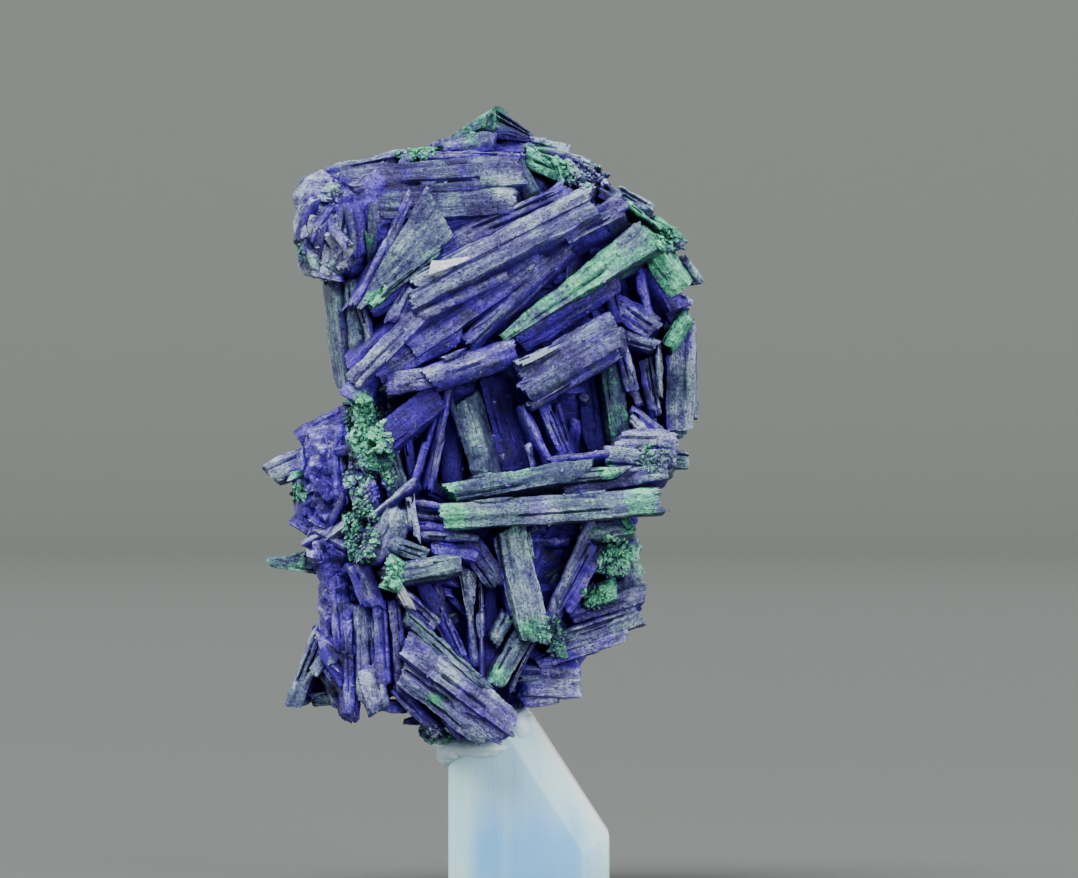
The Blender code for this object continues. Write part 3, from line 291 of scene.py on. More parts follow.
LOWER_RIGHT = (
    ((1.5, 10.9), (4.55, 11.8), (-3.4, -2.8), 0.8, 1.0, 15, "plank", 0.2, "lavender"),
    ((1.2, 10.0), (4.45, 11.05), (-3.6, -3.0), 0.8, 1.0, 5, "plank", 0.2, "lavender"),
    ((0.2, 9.1), (3.75, 10.3), (-3.6, -3.2), 0.6, 1.0, 0, "plank", 0.2, "periwinkle"),
    ((3.2, 11.9), (4.35, 12.25), (-2.4, -2.2), 0.5, 0.9, 0, "block", 0.1, "teal"),
    ((2.0, 11.6), (3.3, 12.0), (-3.5, -3.4), 0.9, 0.9, 15, "block", 0.1, "green"),
    ((-0.6, 8.5), (1.9, 8.4), (-3.3, -3.1), 1.3, 1.3, 5, "block", 0.2, "periwinkle"),
    ((-0.2, 7.75), (1.1, 7.9), (-3.1, -3.0), 0.7, 1.1, 0, "block", 0.1, "periwinkle"),
)
TOP_BACK = (
    ((-7.4, 27.9), (-2.6, 28.9), (0.2, 0.7), 1.5, 1.2, 60, "lath", 0.3, "violet"),
    ((-4.4, 29.0), (0.4, 29.0), (0.6, 1.4), 1.4, 1.2, 80, "lath", -0.3, "lavender"),
    ((-0.8, 29.1), (3.3, 27.3), (0.9, 0.3), 1.5, 1.2, 70, "lath", 0.2, "teal"),
    ((-5.9, 28.3), (-1.4, 28.5), (2.2, 2.6), 1.4, 1.3, 105, "lath", 0.3, "violet"),
    ((0.0, 28.4), (3.7, 26.5), (2.3, 1.7), 1.4, 1.3, 95, "lath", 0.2, "blue"),
    ((2.4, 27.4), (5.3, 25.5), (-0.5, 0.4), 1.3, 1.2, 60, "lath", 0.2, "green"),
)
GROUPS = {
    "upper_sheaf": UPPER_SHEAF,
    "top_left_planks": TOP_LEFT,
    "crown": CROWN + TOP_BACK,
    "right_flank": RIGHT_FLANK,
    "cavity_blades": CAVITY,
    "cross_beams": CROSS_BEAMS,
    "left_flank": LEFT_FLANK,
    "left_centre": LEFT_CENTRE,
    "lower_fan": LOWER_FAN,
    "lower_right_bundle": LOWER_RIGHT,
}

# Spots of another look on the front: place (x, z), radius and look. Those of the shade look are painted
# shade over hollows; the white one is a painted reflection.
PATCHES = (
    ((-9.2, 25.5), 0.45, "green"), ((-8.6, 28.1), 0.8, "violet"), ((-7.2, 27.3), 0.5, "blue"),
    ((-0.7, 27.9), 0.6, "pale"),
    ((-2.2, 30.0), 0.45, "green"), ((-1.4, 31.3), 0.6, "green"), ((0.4, 29.4), 0.5, "mint"),
    ((1.1, 28.7), 0.5, "emerald"), ((2.0, 29.3), 0.4, "pale"), ((-4.4, 29.5), 0.5, "mint"),
    ((0.8, 23.4), 0.35, "mint"), ((1.7, 24.3), 0.35, "mint"), ((2.6, 25.1), 0.35, "mint"),
    ((3.9, 26.2), 0.6, "teal"), ((5.8, 22.3), 0.5, "emerald"), ((5.4, 26.2), 0.6, "emerald"),
    ((-6.1, 23.6), 0.35, "mint"), ((-8.0, 16.7), 0.35, "shade"), ((-8.1, 15.4), 0.3, "shade"),
    ((-7.1, 12.3), 0.35, "shade"), ((-7.5, 9.6), 0.4, "shade"), ((-0.6, 30.1), 0.4, "shade"),
    ((-6.0, 16.0), 0.4, "blue"), ((-6.4, 18.6), 0.7, "mint"), ((-6.5, 19.5), 0.4, "mint"),
    ((-6.2, 17.2), 0.5, "mint"), ((-9.2, 16.0), 0.35, "mint"), ((-10.1, 16.7), 0.5, "pale"),
    ((-3.1, 15.9), 0.4, "green"), ((3.2, 16.8), 0.45, "mint"), ((-3.0, 15.0), 0.5, "emerald"),
    ((4.4, 15.7), 0.7, "mint"), ((0.6, 15.2), 0.6, "pale"), ((4.0, 14.5), 0.3, "emerald"),
    ((3.5, 13.2), 0.7, "bloom"), ((0.1, 10.5), 0.5, "green"), ((-5.4, 12.4), 0.4, "mint"),
    ((-1.2, 8.8), 0.45, "mint"), ((-3.7, 7.7), 0.35, "green"), ((-3.2, 8.8), 0.6, "pale"),
    ((-4.8, 11.7), 0.2, "white"),
    ((1.0, 10.3), 0.5, "green"), ((2.7, 11.8), 0.5, "green"), ((-2.4, 12.4), 0.4, "pale"),
    ((-6.2, 8.2), 0.5, "pale"), ((-7.1, 17.4), 0.4, "green"), ((6.0, 20.0), 0.8, "teal"),
)

# Where malachite grows as a crust on the front: place (x, z), radii, how many grains, and look.
CRUSTS = (
    ((-6.5, 18.7), (0.8, 0.9), 70, "bloom"), ((-6.3, 16.7), (1.0, 1.2), 110, "bloom"),
    ((-6.6, 14.4), (0.7, 1.2), 80, "mint"), ((-5.9, 17.6), (0.6, 0.8), 40, "bloom"),
    ((-9.15, 25.5), (0.3, 0.6), 20, "emerald"), ((-4.4, 29.4), (0.7, 0.3), 24, "mint"),
    ((2.3, 28.5), (0.9, 0.6), 40, "pale"),
    ((3.4, 13.4), (0.7, 0.9), 50, "bloom"), ((0.9, 10.3), (0.5, 0.8), 40, "green"),
    ((2.6, 11.8), (0.6, 0.5), 26, "green"), ((-3.8, 6.3), (0.5, 0.3), 20, "pale"),
    ((5.0, 17.3), (0.8, 0.6), 34, "teal"), ((5.6, 25.9), (0.5, 0.6), 24, "green"),
    ((-9.2, 15.9), (0.4, 0.4), 16, "mint"), ((-5.3, 12.6), (0.4, 0.4), 18, "mint"),
)

# The mass that the crystals grew on: at each height z, its left, right, front and back.
MASS = (
    (7.4, -3.6, -0.4, -2.6, 2.2), (8.3, -6.0, 0.8, -3.2, 3.4), (10.0, -6.9, 1.8, -3.5, 4.2),
    (12.5, -7.2, 2.8, -3.9, 4.8), (15.0, -7.5, 3.4, -4.0, 5.2), (17.5, -7.5, 4.0, -2.8, 5.4),
    (20.0, -6.8, 4.9, -3.0, 5.4), (23.0, -7.2, 4.9, -4.0, 5.0), (26.0, -7.5, 4.2, -3.8, 4.4),
    (28.0, -6.4, 2.4, -3.0, 3.4), (29.0, -3.4, 1.0, -1.8, 2.0),
)
MASS_SIDES = 12
MASS_SQUARENESS = 0.6
MASS_ROUGHNESS = 0.35
MASS_SEED = 3

# The outline of the cluster as the front view shows it. Crystals of the sides and back stay inside it.
OUTLINE = (
    (-1.5, 31.5), (0.1, 30.3), (1.2, 29.8), (2.0, 29.2), (2.9, 28.5), (3.6, 28.0), (4.3, 27.6), (5.2, 26.9),
    (5.95, 26.2), (6.0, 25.4), (6.7, 24.5), (6.3, 23.6), (6.3, 22.7), (6.65, 21.5), (6.6, 18.5), (5.6, 18.4),
    (6.3, 17.3), (5.6, 16.6), (5.0, 15.2), (4.3, 14.8), (4.1, 12.9), (3.5, 12.4), (4.5, 12.2), (4.7, 11.5),
    (3.9, 10.2), (2.0, 9.1), (1.9, 8.0), (0.4, 7.2), (-0.5, 7.0), (-4.2, 6.6), (-5.2, 7.3), (-7.0, 7.2),
    (-8.4, 7.4), (-9.4, 7.6), (-8.4, 10.6), (-8.0, 12.4), (-10.2, 13.2), (-8.9, 14.0), (-9.3, 14.8),
    (-9.0, 16.0), (-10.3, 16.5), (-9.0, 17.6), (-9.0, 18.3), (-7.1, 19.5), (-7.3, 20.2), (-7.5, 22.5),
    (-7.8, 24.2), (-8.9, 24.5), (-9.3, 25.8), (-8.8, 27.6), (-7.8, 28.8), (-5.8, 29.2), (-3.1, 30.0),
)
OUTLINE_MARGIN = 0.05

# Sheaves of parallel crystals round the sides and back: bearing round the mass (0 right, 90 back, 180 left),
# height z, lean of the crystals from level in degrees, how many, length, width, thickness.
SHEAVES = (
    (-24, 27.2, 40, 2, 3.6, 1.0, 0.9), (-20, 21.0, 80, 2, 4.8, 1.1, 0.9),
    (10, 25.2, -35, 3, 4.8, 1.4, 1.0), (12, 20.0, 64, 3, 5.6, 1.5, 1.0), (10, 15.0, 20, 3, 5.0, 1.5, 1.0),
    (8, 10.8, -30, 2, 4.6, 1.4, 1.0), (46, 23.0, 12, 3, 6.6, 1.7, 1.1), (46, 17.0, -55, 3, 6.4, 1.7, 1.1),
    (44, 11.6, 30, 3, 6.0, 1.6, 1.1), (52, 27.4, 55, 2, 4.4, 1.5, 1.0), (84, 25.2, -28, 3, 7.4, 1.9, 1.2),
    (86, 19.0, 36, 4, 8.0, 1.9, 1.2), (84, 12.6, -14, 3, 7.0, 1.9, 1.2), (92, 9.0, 60, 2, 3.6, 1.5, 1.0),
    (122, 26.8, 12, 3, 6.0, 1.6, 1.1), (124, 20.4, 66, 3, 7.0, 1.7, 1.1), (124, 13.0, 38, 3, 6.4, 1.7, 1.1),
    (160, 23.8, -50, 3, 5.8, 1.5, 1.0), (162, 17.6, 74, 3, 5.8, 1.5, 1.0), (160, 11.2, 20, 3, 5.0, 1.4, 1.0),
)
SHEAF_SEED = 7
SHEAF_FORMS = ("lath", "lath", "block", "roof")
SHEAF_LOOKS = ("violet", "lavender", "blue", "violet", "teal", "indigo", "grey", "green", "lavender")

# How far apart a sheaf's crystals lie, as a share of their width, and their least half length.
SHEAF_SPACING = 0.82
SHEAF_LEAST = 0.8

# The post, in millimetres.
POST_SIDE = 3.2
POST_SHOULDER_Z = 2.3
POST_TIP = (0.05, 7.15)
POST_LEFT_TOP_Z = 5.1
POST_CHAMFER = 1.0
POST_CREASE = (0.9, 3.65)

# Which way the sawn slope of the post faces, and how far it lies from the foot's centre.
POST_SLOPE = Vector((POST_TIP[1] - POST_SHOULDER_Z, 0.0, POST_SIDE - POST_TIP[0])).normalized()
POST_SLOPE_REACH = POST_SLOPE.x * POST_SIDE + POST_SLOPE.z * POST_SHOULDER_Z

# The lumps of putty, as centre and half sizes in millimetres.
PUTTY_LUMPS = (
    ((-1.7, -0.7, 5.75), (2.0, 3.0, 0.72)),
    ((-3.0, -1.5, 5.55), (0.72, 1.5, 0.66)),
    ((-0.45, -1.2, 6.5), (0.6, 1.9, 1.0)),
    ((-2.3, 0.6, 6.3), (1.8, 2.2, 0.9)),
)

# The masters that every crystal is copied from: size along, across and through, taper of the start and
# of the end, how rounded the section is, steps across and through, and cells along, across and through.
MASTERS = {
    "plank": ((6.0, 1.1, 0.9), (0.9, 0.82), (0.92, 0.8), 0.32, 3, 2, (42, 11, 8)),
    "lath": ((4.5, 0.9, 0.8), (0.9, 0.8), (0.85, 0.8), 0.4, 2, 2, (32, 9, 7)),
    "slat": ((3.0, 0.45, 0.7), (0.85, 0.8), (0.8, 0.75), 0.6, 1, 2, (26, 6, 7)),
    "wedge": ((5.0, 1.2, 0.9), (0.3, 0.4), (1.0, 0.9), 0.3, 3, 2, (40, 12, 8)),
    "roof": ((4.0, 1.0, 0.9), (0.9, 0.8), (0.85, 0.8), 1.0, 2, 2, (32, 10, 8)),
    "block": ((1.7, 1.1, 1.0), (0.85, 0.8), (0.8, 0.75), 0.3, 2, 2, (14, 10, 8)),
    "nugget": ((0.8, 0.6, 0.55), (0.85, 0.8), (0.8, 0.75), 0.3, 1, 1, (7, 6, 5)),
    "shard": ((4.4, 2.2, 0.5), (0.06, 0.6), (1.0, 1.0), 0.1, 0, 0, (36, 18, 4)),
    "chip": ((1.0, 0.4, 0.3), (0.8, 0.8), (0.5, 0.6), 0.6, 0, 0, (3, 2, 2)),
}
MASTER_VARIANTS = 4
MASTER_SEED = 17

# The forms whose width runs evenly from end to end, and those whose ends aren't broken off.
TAPERED = ("wedge", "shard")
WHOLE = ("shard",)

# A crystal's ends: their share of its width and depth, over how many cells they slope, and how far they are
# broken off, with the figure for the whole forms last.
END_WIDTH = 0.93
END_DEPTH = 0.9
END_CELLS = 4.0
JAG = 0.09
WHOLE_JAG = 0.02

# How much a crystal's malachite, dust and teal differ from those of its look.
TINT_WANDER = (0.05, 0.07, 0.1)

# Sizes of the noise that roughens the crystals, and size and strength of that of the mass and the putty.
CRYSTAL_NOISE = (0.0016, 0.0005, 0.00018)
MASS_NOISE = ((0.0011, 0.0008), (0.0005, 0.0004), (0.0002, 0.00016))
DRUSE_NOISE = 0.0003
PUTTY_NOISE = ((0.0014, 0.0004), (0.0004, 0.00012))
PUTTY_CELL = 0.00009

# Where lines start that find the stone from the front, in millimetres.
BEFORE_STONE = -12.0

# Rough blocks between the crystals: centre, half sizes, and look. The last, of the shade look, is a dark
# block put behind a hole as painted shade.
LUMPS = (
    ((-7.75, -3.2, 26.5), (1.5, 1.6, 2.05), "pearl"), ((-6.5, -3.5, 27.0), (1.3, 1.4, 1.6), "violet"),
    ((-7.9, -2.3, 17.4), (0.9, 1.2, 1.2), "blue"), ((-7.9, -2.5, 15.4), (0.7, 1.1, 1.2), "violet"),
    ((-7.5, -2.5, 13.4), (0.7, 1.1, 1.4), "blue"), ((-7.4, -2.2, 11.2), (0.8, 1.1, 1.8), "blue"),
    ((-6.6, -2.4, 8.9), (1.3, 1.2, 1.2), "dusk"), ((-0.9, -0.6, 29.2), (2.0, 1.4, 0.8), "dusk"),
    ((3.5, -1.6, 12.8), (0.9, 1.2, 1.6), "teal"), ((4.8, -1.4, 17.2), (1.0, 1.2, 0.8), "teal"),
    ((4.4, -1.0, 24.6), (1.3, 1.2, 1.6), "dusk"), ((0.6, -2.4, 8.6), (1.3, 1.0, 0.9), "blue"),
    ((-2.8, -1.8, 7.4), (1.3, 1.2, 0.7), "dusk"), ((-7.95, -0.2, 9.2), (0.75, 1.0, 1.5), "shade"),
)

# How square the rough blocks are: 2 is round, and more is squarer.
BLOCKINESS = 3.2

# Crystals wider than this grow as two side by side, and how many slivers lie on each mm of a crystal.
SPLIT_OVER = 1.3
SLIVERS_PER_MM = 0.16

# The slivers' half length, width and thickness, least and most.
SLIVER_HALF = (0.3, 0.8)
SLIVER_WIDTH = (0.14, 0.3)
SLIVER_THICKNESS = (0.2, 0.34)

# How open the stone lies is read on cells of this size, ahead of each point by reaches with a blur each.
AIR_CELL = 0.2
AIR_REACHES = ((0.45, 0.22), (0.9, 0.4), (1.8, 0.8))
AIR_GAIN = 0.45
AIR_MARGIN = 3.0

# The small crystals of the bare sides and back: how far they reach from their middles, between which
# heights they grow, how high off the mass, least and greatest size, and shares of it along, across and
# through. Then how many patches lean one way, and how tall each is.
DRUSE_REACH = 0.9
DRUSE_HEIGHTS = (8.2, 28.6)
DRUSE_RISE = 0.12
DRUSE_SIZES = (0.7, 1.2)
DRUSE_STRETCH = (1.9, 0.42, 0.5)
DRUSE_PATCHES = 40
DRUSE_PATCH = 3.3

# How many times the grains of each crust are laid.
CRUST_DENSITY = 3

# Least and greatest grain of the crust and of the crumbs, their shares along, across and through, and
# where the crumbs lie, across and in height.
CRUST_GRAINS = (0.1, 0.24)
CRUMB_GRAINS = (0.06, 0.15)
GRAIN_STRETCH = (1.4, 0.9, 0.8)
CRUMB_ACROSS = (-9.2, 6.4)
CRUMB_HEIGHTS = (7.4, 30.2)

# Up to which angle in degrees an edge is smoothed over: sharp pieces, crystals, rough pieces and putty.
SHARP_ANGLE = 35.0
CRISP_ANGLE = 50.0
ROUGH_ANGLE = 60.0
SOFT_ANGLE = 80.0

# The floor, as shares of its radius: how far it is flat, how far it is cut in from there, the radius of
# the turn into a wall, and how far out it has become lighter. Then the steps of the turn, and the room's
# light: its colour and strength.
FLOOR_FLAT = 0.7
FLOOR_INSET = 0.65
FLOOR_TURN = 0.3
FLOOR_LIGHTER = 0.85
TURN_STEPS = 12
ROOM_COLOUR = (0.85, 0.82, 0.86, 1.0)
ROOM_STRENGTH = 0.8

# Where the front is blocky: place (x, z), radii, least and greatest crystal, how many, and looks.
BLOCKY = (
    ((-8.2, 26.3), (1.1, 2.0), (0.4, 0.8), 80, ("pearl", "pearl", "pearl", "periwinkle", "speckled")),
    ((-7.6, 28.0), (1.0, 0.5), (0.3, 0.6), 16, ("violet", "violet", "haze")),
    ((-8.1, 15.3), (0.8, 1.6), (0.35, 0.8), 50, ("blue", "periwinkle", "violet", "indigo")),
    ((-7.8, 12.0), (0.8, 2.0), (0.35, 0.8), 40, ("blue", "indigo", "violet")),
    ((0.9, 28.7), (2.2, 0.6), (0.35, 0.8), 34, ("grey", "pale", "violet", "teal")),
    ((4.4, 24.6), (1.4, 1.6), (0.4, 1.0), 30, ("lavender", "grey", "indigo")),
    ((3.6, 13.0), (0.9, 1.6), (0.4, 0.9), 24, ("teal", "grey", "violet")),
)


def colour_setting(name, description, default):
    """A colour of the panel."""
    return FloatVectorProperty(name=name, description=description, subtype="COLOR", default=default)


def length_setting(name, description, default):
    """A length of the panel."""
    return FloatProperty(name=name, description=description, default=default, unit="LENGTH")


class StoneSettings(bpy.types.PropertyGroup):
    """Sizes and colours of the stone."""

    roughening: length_setting("Roughening", "How far the crystal faces are roughened", 0.00006)
    waviness: length_setting("Waviness", "How far the crystals wander from straight", 0.00010)
    crumbs: IntProperty(
        name="Crumbs", description="Crumbs scattered over the front", default=260, min=0)
    druse: IntProperty(
        name="Druse", description="Small crystals grown over the bare sides and back", default=900, min=0)
    shadow_blue: colour_setting("Shadow blue", "Fresh azurite in its recesses", (0.024, 0.005, 0.19))
    deep_blue: colour_setting("Deep blue", "Fresh azurite in shade", (0.040, 0.008, 0.34))
    royal_blue: colour_setting("Royal blue", "Fresh azurite in light", (0.080, 0.032, 0.46))
    shadow_violet: colour_setting("Shadow violet", "Weathered azurite in its recesses", (0.012, 0.009, 0.05))
    dull_violet: colour_setting("Dull violet", "Weathered azurite in shade", (0.044, 0.040, 0.150))
    violet_grey: colour_setting("Violet grey", "Weathered azurite in light", (0.100, 0.103, 0.27))
    lavender: colour_setting("Lavender", "Dusty azurite", (0.21, 0.225, 0.43))
    malachite: colour_setting("Malachite", "Malachite in light", (0.035, 0.185, 0.12))
    mint: colour_setting("Mint", "Dusty malachite", (0.085, 0.42, 0.25))


class PostSettings(bpy.types.PropertyGroup):
    """Colours of the post and the putty."""

    plastic: colour_setting("Plastic", "The post where it is thick", (0.17, 0.54, 0.98))
    # Frost is scuffing and painted highlight on the edges and tip.
    frost_and_painted_highlight: colour_setting("Frost", "The post's scuffed edges and tip", (0.58, 0.91, 1.0))
    putty: colour_setting("Putty", "The putty", (0.74, 0.91, 0.98))
    putty_shade: colour_setting("Putty shade", "The putty where it is thin", (0.54, 0.74, 0.86))
    edge: length_setting("Edge", "Width of the worn edges", 0.00012)


class StageSettings(bpy.types.PropertyGroup):
    """The floor, the lights and the camera."""

    floor: colour_setting("Floor", "The floor under the specimen", (0.087, 0.094, 0.088))
    wall: colour_setting("Wall", "The floor where it turns up", (0.294, 0.32, 0.298))
    radius: length_setting("Stage radius", "Where the floor turns up", 1.7)
    distance: length_setting("Camera distance", "From the lens to the specimen", 0.4)
    lens: FloatProperty(name="Lens", description="Focal length in millimetres", default=333.95)
    aim_x: length_setting("Aim across", "Where the camera looks, across", 0.0004)
    aim_z: length_setting("Aim height", "How high the camera looks", 0.01804)
    key_power: FloatProperty(name="Key light", description="Power of the key light", default=20.0)
    fill_power: FloatProperty(name="Fill light", description="Power of the fill light", default=10.0)
    rim_power: FloatProperty(name="Rim lights", description="Power of each rim light", default=6.0)


class Value:
    """A number in a shader, which Python's own operators join with Math nodes."""

    def __init__(self, tree, socket):
        self.tree = tree
        self.socket = socket

    def maths(self, operation, *others, clamp=False):
        """This value and others through one Math node."""
        sockets = dict(enumerate((self, *others)))
        return self.tree.node("ShaderNodeMath", {"operation": operation, "use_clamp": clamp}, sockets)

    def __add__(self, other):
        return self.maths("ADD", other)

    def __sub__(self, other):
        return self.maths("SUBTRACT", other)

    def __mul__(self, other):
        return self.maths("MULTIPLY", other)

    def __rsub__(self, other):
        return (self * -1.0) + other

    __radd__ = __add__
    __rmul__ = __mul__

    def clamp(self):
        """This value kept from 0 to 1."""
        return self.maths("ADD", 0.0, clamp=True)

    def step(self, low, high):
        """0 below low, 1 above high, and a smooth change between them."""
        sockets = {"Value": self, "From Min": low, "From Max": high}
        return self.tree.node("ShaderNodeMapRange", {"interpolation_type": "SMOOTHSTEP"}, sockets)


class Finish:
    """One material and its nodes."""

    def __init__(self, name):
        self.material = bpy.data.materials.new(name)
        self.material.use_nodes = True
        self.nodes = self.material.node_tree.nodes
        self.links = self.material.node_tree.links
        self.shader = self.nodes["Principled BSDF"]

    def node(self, kind, settings=None, sockets=None, output=0):
        """Add a node: its settings first, then its sockets, each a number, a colour or a link."""
        made = self.nodes.new(kind)
        for key, value in (settings or {}).items():
            if key == "stops":
                self.set_stops(made.color_ramp, value)
            else:
                setattr(made, key, value)
        for key, value in (sockets or {}).items():
            if isinstance(value, Value):
                self.links.new(value.socket, made.inputs[key])
            else:
                made.inputs[key].default_value = value
        return Value(self, made.outputs[output])

    def set_stops(self, ramp, stops):
        """Give a colour ramp its stops."""
        while len(ramp.elements) < len(stops):
            ramp.elements.new(1.0)
        for element, (place, colour) in zip(ramp.elements, stops):
            element.position = place
            element.color = (*colour, 1.0)

    def ramp(self, value, stops):
        """A colour read off a ramp."""
        return self.node("ShaderNodeValToRGB", {"stops": stops}, {"Fac": value})

    def mix(self, share, first, second):
        """Two colours mixed by a share."""
        settings = {"data_type": "RGBA", "clamp_factor": True}
        if not isinstance(first, Value):
            first = (*first, 1.0)
        if not isinstance(second, Value):
            second = (*second, 1.0)
        return self.node("ShaderNodeMix", settings, {0: share, 6: first, 7: second}, 2)

    def noise(self, place, scale, detail=4.0, roughness=0.55, distortion=0.0):
        """Soft noise, about 0.5 in the middle."""
        sockets = {"Vector": place, "Scale": scale, "Detail": detail, "Roughness": roughness,
                   "Distortion": distortion}
        return self.node("ShaderNodeTexNoise", {"noise_dimensions": "3D"}, sockets)

    def cells(self, place, scale):
        """Distance to the nearest of scattered points."""
        return self.node("ShaderNodeTexVoronoi", None, {"Vector": place, "Scale": scale})

    def stretch(self, place, scale):
        """A place scaled by its own amount along each axis."""
        return self.node("ShaderNodeVectorMath", {"operation": "MULTIPLY"}, {0: place, 1: scale})

    def attribute(self, name, output):
        """One of the mesh's own attributes."""
        return self.node("ShaderNodeAttribute", {"attribute_name": name}, None, output)

    def object_place(self):
        """Where the point lies, in millimetres."""
        place = self.node("ShaderNodeTexCoord", None, None, 3)
        return self.stretch(place, (1.0 / MM, 1.0 / MM, 1.0 / MM))

    def bump(self, height, distance, strength=1.0):
        """Send a height to the shader's normal."""
        sockets = {"Height": height, "Distance": distance, "Strength": strength}
        self.set(Normal=self.node("ShaderNodeBump", None, sockets))

    def set(self, **sockets):
        """Set the shader's own sockets. An underscore stands for a space."""
        for key, value in sockets.items():
            socket = self.shader.inputs[key.replace("_", " ")]
            if isinstance(value, Value):
                self.links.new(value.socket, socket)
            else:
                socket.default_value = value


def crystal_finish(name, settings):
    """Azurite and malachite as each crystal's tint says: saturated and darkened in its recesses as painted
    shade, dusty in the open.
    """
    made = Finish(name)
    grain = made.attribute("grain", "Vector")
    tint = made.node("ShaderNodeSeparateColor", None, {"Color": made.attribute("tint", "Color")}, "Red")
    parts = tint.socket.node.outputs
    green, dust, teal = (Value(made, parts[key]) for key in ("Red", "Green", "Blue"))
    bare = made.attribute("tint", "Alpha")
    air = made.attribute("open", "Fac")
    place = made.object_place()
    ridge = made.node("ShaderNodeNewGeometry", None, None, "Pointiness")
    facing = made.node("ShaderNodeNewGeometry", None, None, "Normal")
    upward = made.node("ShaderNodeSeparateXYZ", None, {"Vector": facing}, "Z")

    streak = made.noise(made.stretch(grain, (0.6, 3.5, 3.5)), 1.0, 4.0, 0.6) - 0.5
    grit = made.noise(made.stretch(grain, (9.0, 14.0, 14.0)), 1.0, 3.0, 0.7) - 0.5
    cloud = made.noise(place, 0.8, 4.0, 0.6) - 0.5
    drift = made.noise(place, 1.3, 3.0, 0.55, 0.4) - 0.5
    spots = made.noise(place, 5.5, 5.0, 0.75) - 0.5
    pits = made.cells(made.stretch(grain, (5.0, 8.0, 8.0)), 1.0)
    pit_mask = (1.0 - pits.step(0.16, 0.36)) * spots.step(-0.04, 0.08)
    seam = made.noise(made.stretch(grain, (0.5, 6.0, 6.0)), 1.0, 2.0, 0.5) - 0.5
    seam_line = (1.0 - seam.maths("ABSOLUTE").step(0.006, 0.03)) * cloud.step(-0.12, 0.05)
    crack = made.noise(made.stretch(grain, (3.5, 0.8, 0.8)), 1.0, 2.0, 0.5) - 0.5
    crack_line = 1.0 - crack.maths("ABSOLUTE").step(0.0, 0.014)

    # Ridges lighter as edge wear and painted highlight, crevices darker as painted shade; streaks, grit,
    # cloud and spots are the stone's own.
    light = dust + streak * 1.05 + grit * 0.75 + cloud * 1.0 + spots * 1.0 + (ridge - 0.5) * 1.1
    # Upward faces lighter as dust and painted light from above; recesses, where the stone lies less open,
    # darker as painted shade.
    light = light + upward * 0.12 + 0.07 + (air - 0.85) * 1.1
    light = (light - pit_mask * 0.42 - seam_line * 0.14 - crack_line * 0.12).clamp()
    # More vivid where the crystal is fresh; more vivid too in recesses and on under faces as painted shade,
    # and on ridges as painted light.
    fresh_and_painted_shade = drift * 3.6 + (0.85 - air) * 1.9 + (ridge - 0.5) * 2.6 + streak * 1.0
    fresh_and_painted_shade = (fresh_and_painted_shade + 0.94 - dust * 0.7 - teal * 2.4 - upward * 0.45).clamp()
    # Each ramp runs from painted shade to painted light: one colour as it looks in recesses, in shade and in
    # light.
    dull = made.ramp(light, (
        (0.0, settings.shadow_violet), (0.25, (0.021, 0.017, 0.088)), (0.45, settings.dull_violet),
        (0.66, settings.violet_grey), (0.85, settings.lavender), (1.0, (0.43, 0.48, 0.70))))
    vivid = made.ramp(light, (
        (0.0, settings.shadow_blue), (0.22, settings.deep_blue), (0.46, settings.royal_blue),
        (0.7, (0.155, 0.105, 0.60)), (0.88, (0.26, 0.24, 0.72)), (1.0, (0.46, 0.48, 0.86))))
    sea = made.ramp(light, (
        (0.0, (0.008, 0.010, 0.045)), (0.25, (0.020, 0.028, 0.105)), (0.5, (0.052, 0.078, 0.15)),
        (0.75, (0.13, 0.19, 0.26)), (1.0, (0.33, 0.42, 0.50))))
    leaf = made.ramp(light, (
        (0.0, (0.001, 0.012, 0.018)), (0.3, (0.008, 0.05, 0.045)), (0.55, settings.malachite),
        (0.82, settings.mint), (1.0, (0.23, 0.65, 0.42))))
    teal_mask = (teal + cloud * 1.3 + streak * 0.5 + (air - 0.8) * 0.6).step(0.2, 0.7)
    green_mask = (green + cloud * 1.4 + spots * 1.6 + streak * 0.9).step(0.38, 0.92)
    colour = made.mix(teal_mask, made.mix(fresh_and_painted_shade, dull, vivid), sea)
    colour = made.mix(green_mask, colour, leaf)
    # Painted glints: small pale specks where the stone lies open.
    glint = made.cells(place, 5.5).step(0.03, 0.06)
    colour = made.mix((1.0 - glint) * spots.step(0.0, 0.05) * air, colour, (0.55, 0.58, 0.82))
    # Painted reflection: the tint's alpha turns the facets of the white look pale.
    colour = made.mix(bare, colour, (0.66, 0.68, 0.74))
    made.set(Base_Color=colour, IOR=1.5, Specular_IOR_Level=0.28)
    made.set(Roughness=(0.6 - grit * 0.6 + pit_mask * 0.2).clamp())
    height = streak * 0.6 + grit * 0.8 + spots * 0.5 - pit_mask * 0.6 - seam_line * 0.7 - crack_line * 0.4
    made.bump(height, 0.00009, 0.8)
    return made.material


def putty_finish(settings):
    """Pressed white putty, a little greasy."""
    made = Finish("white_putty")
    place = made.object_place()
    smear = made.noise(made.stretch(place, (0.8, 0.8, 2.2)), 1.2, 4.0, 0.55, 0.6)
    fine = made.noise(place, 8.0, 3.0, 0.6)
    made.set(Base_Color=made.mix(smear.step(0.3, 0.7), tuple(settings.putty_shade), tuple(settings.putty)))
    made.set(Roughness=(0.34 + fine * 0.3).clamp(), IOR=1.45)
    made.set(Subsurface_Weight=0.4, Subsurface_Scale=0.0008, Subsurface_Radius=(0.8, 0.9, 1.0))
    made.bump(smear * 1.4 + fine * 0.3, 0.00018, 0.7)
    return made.material


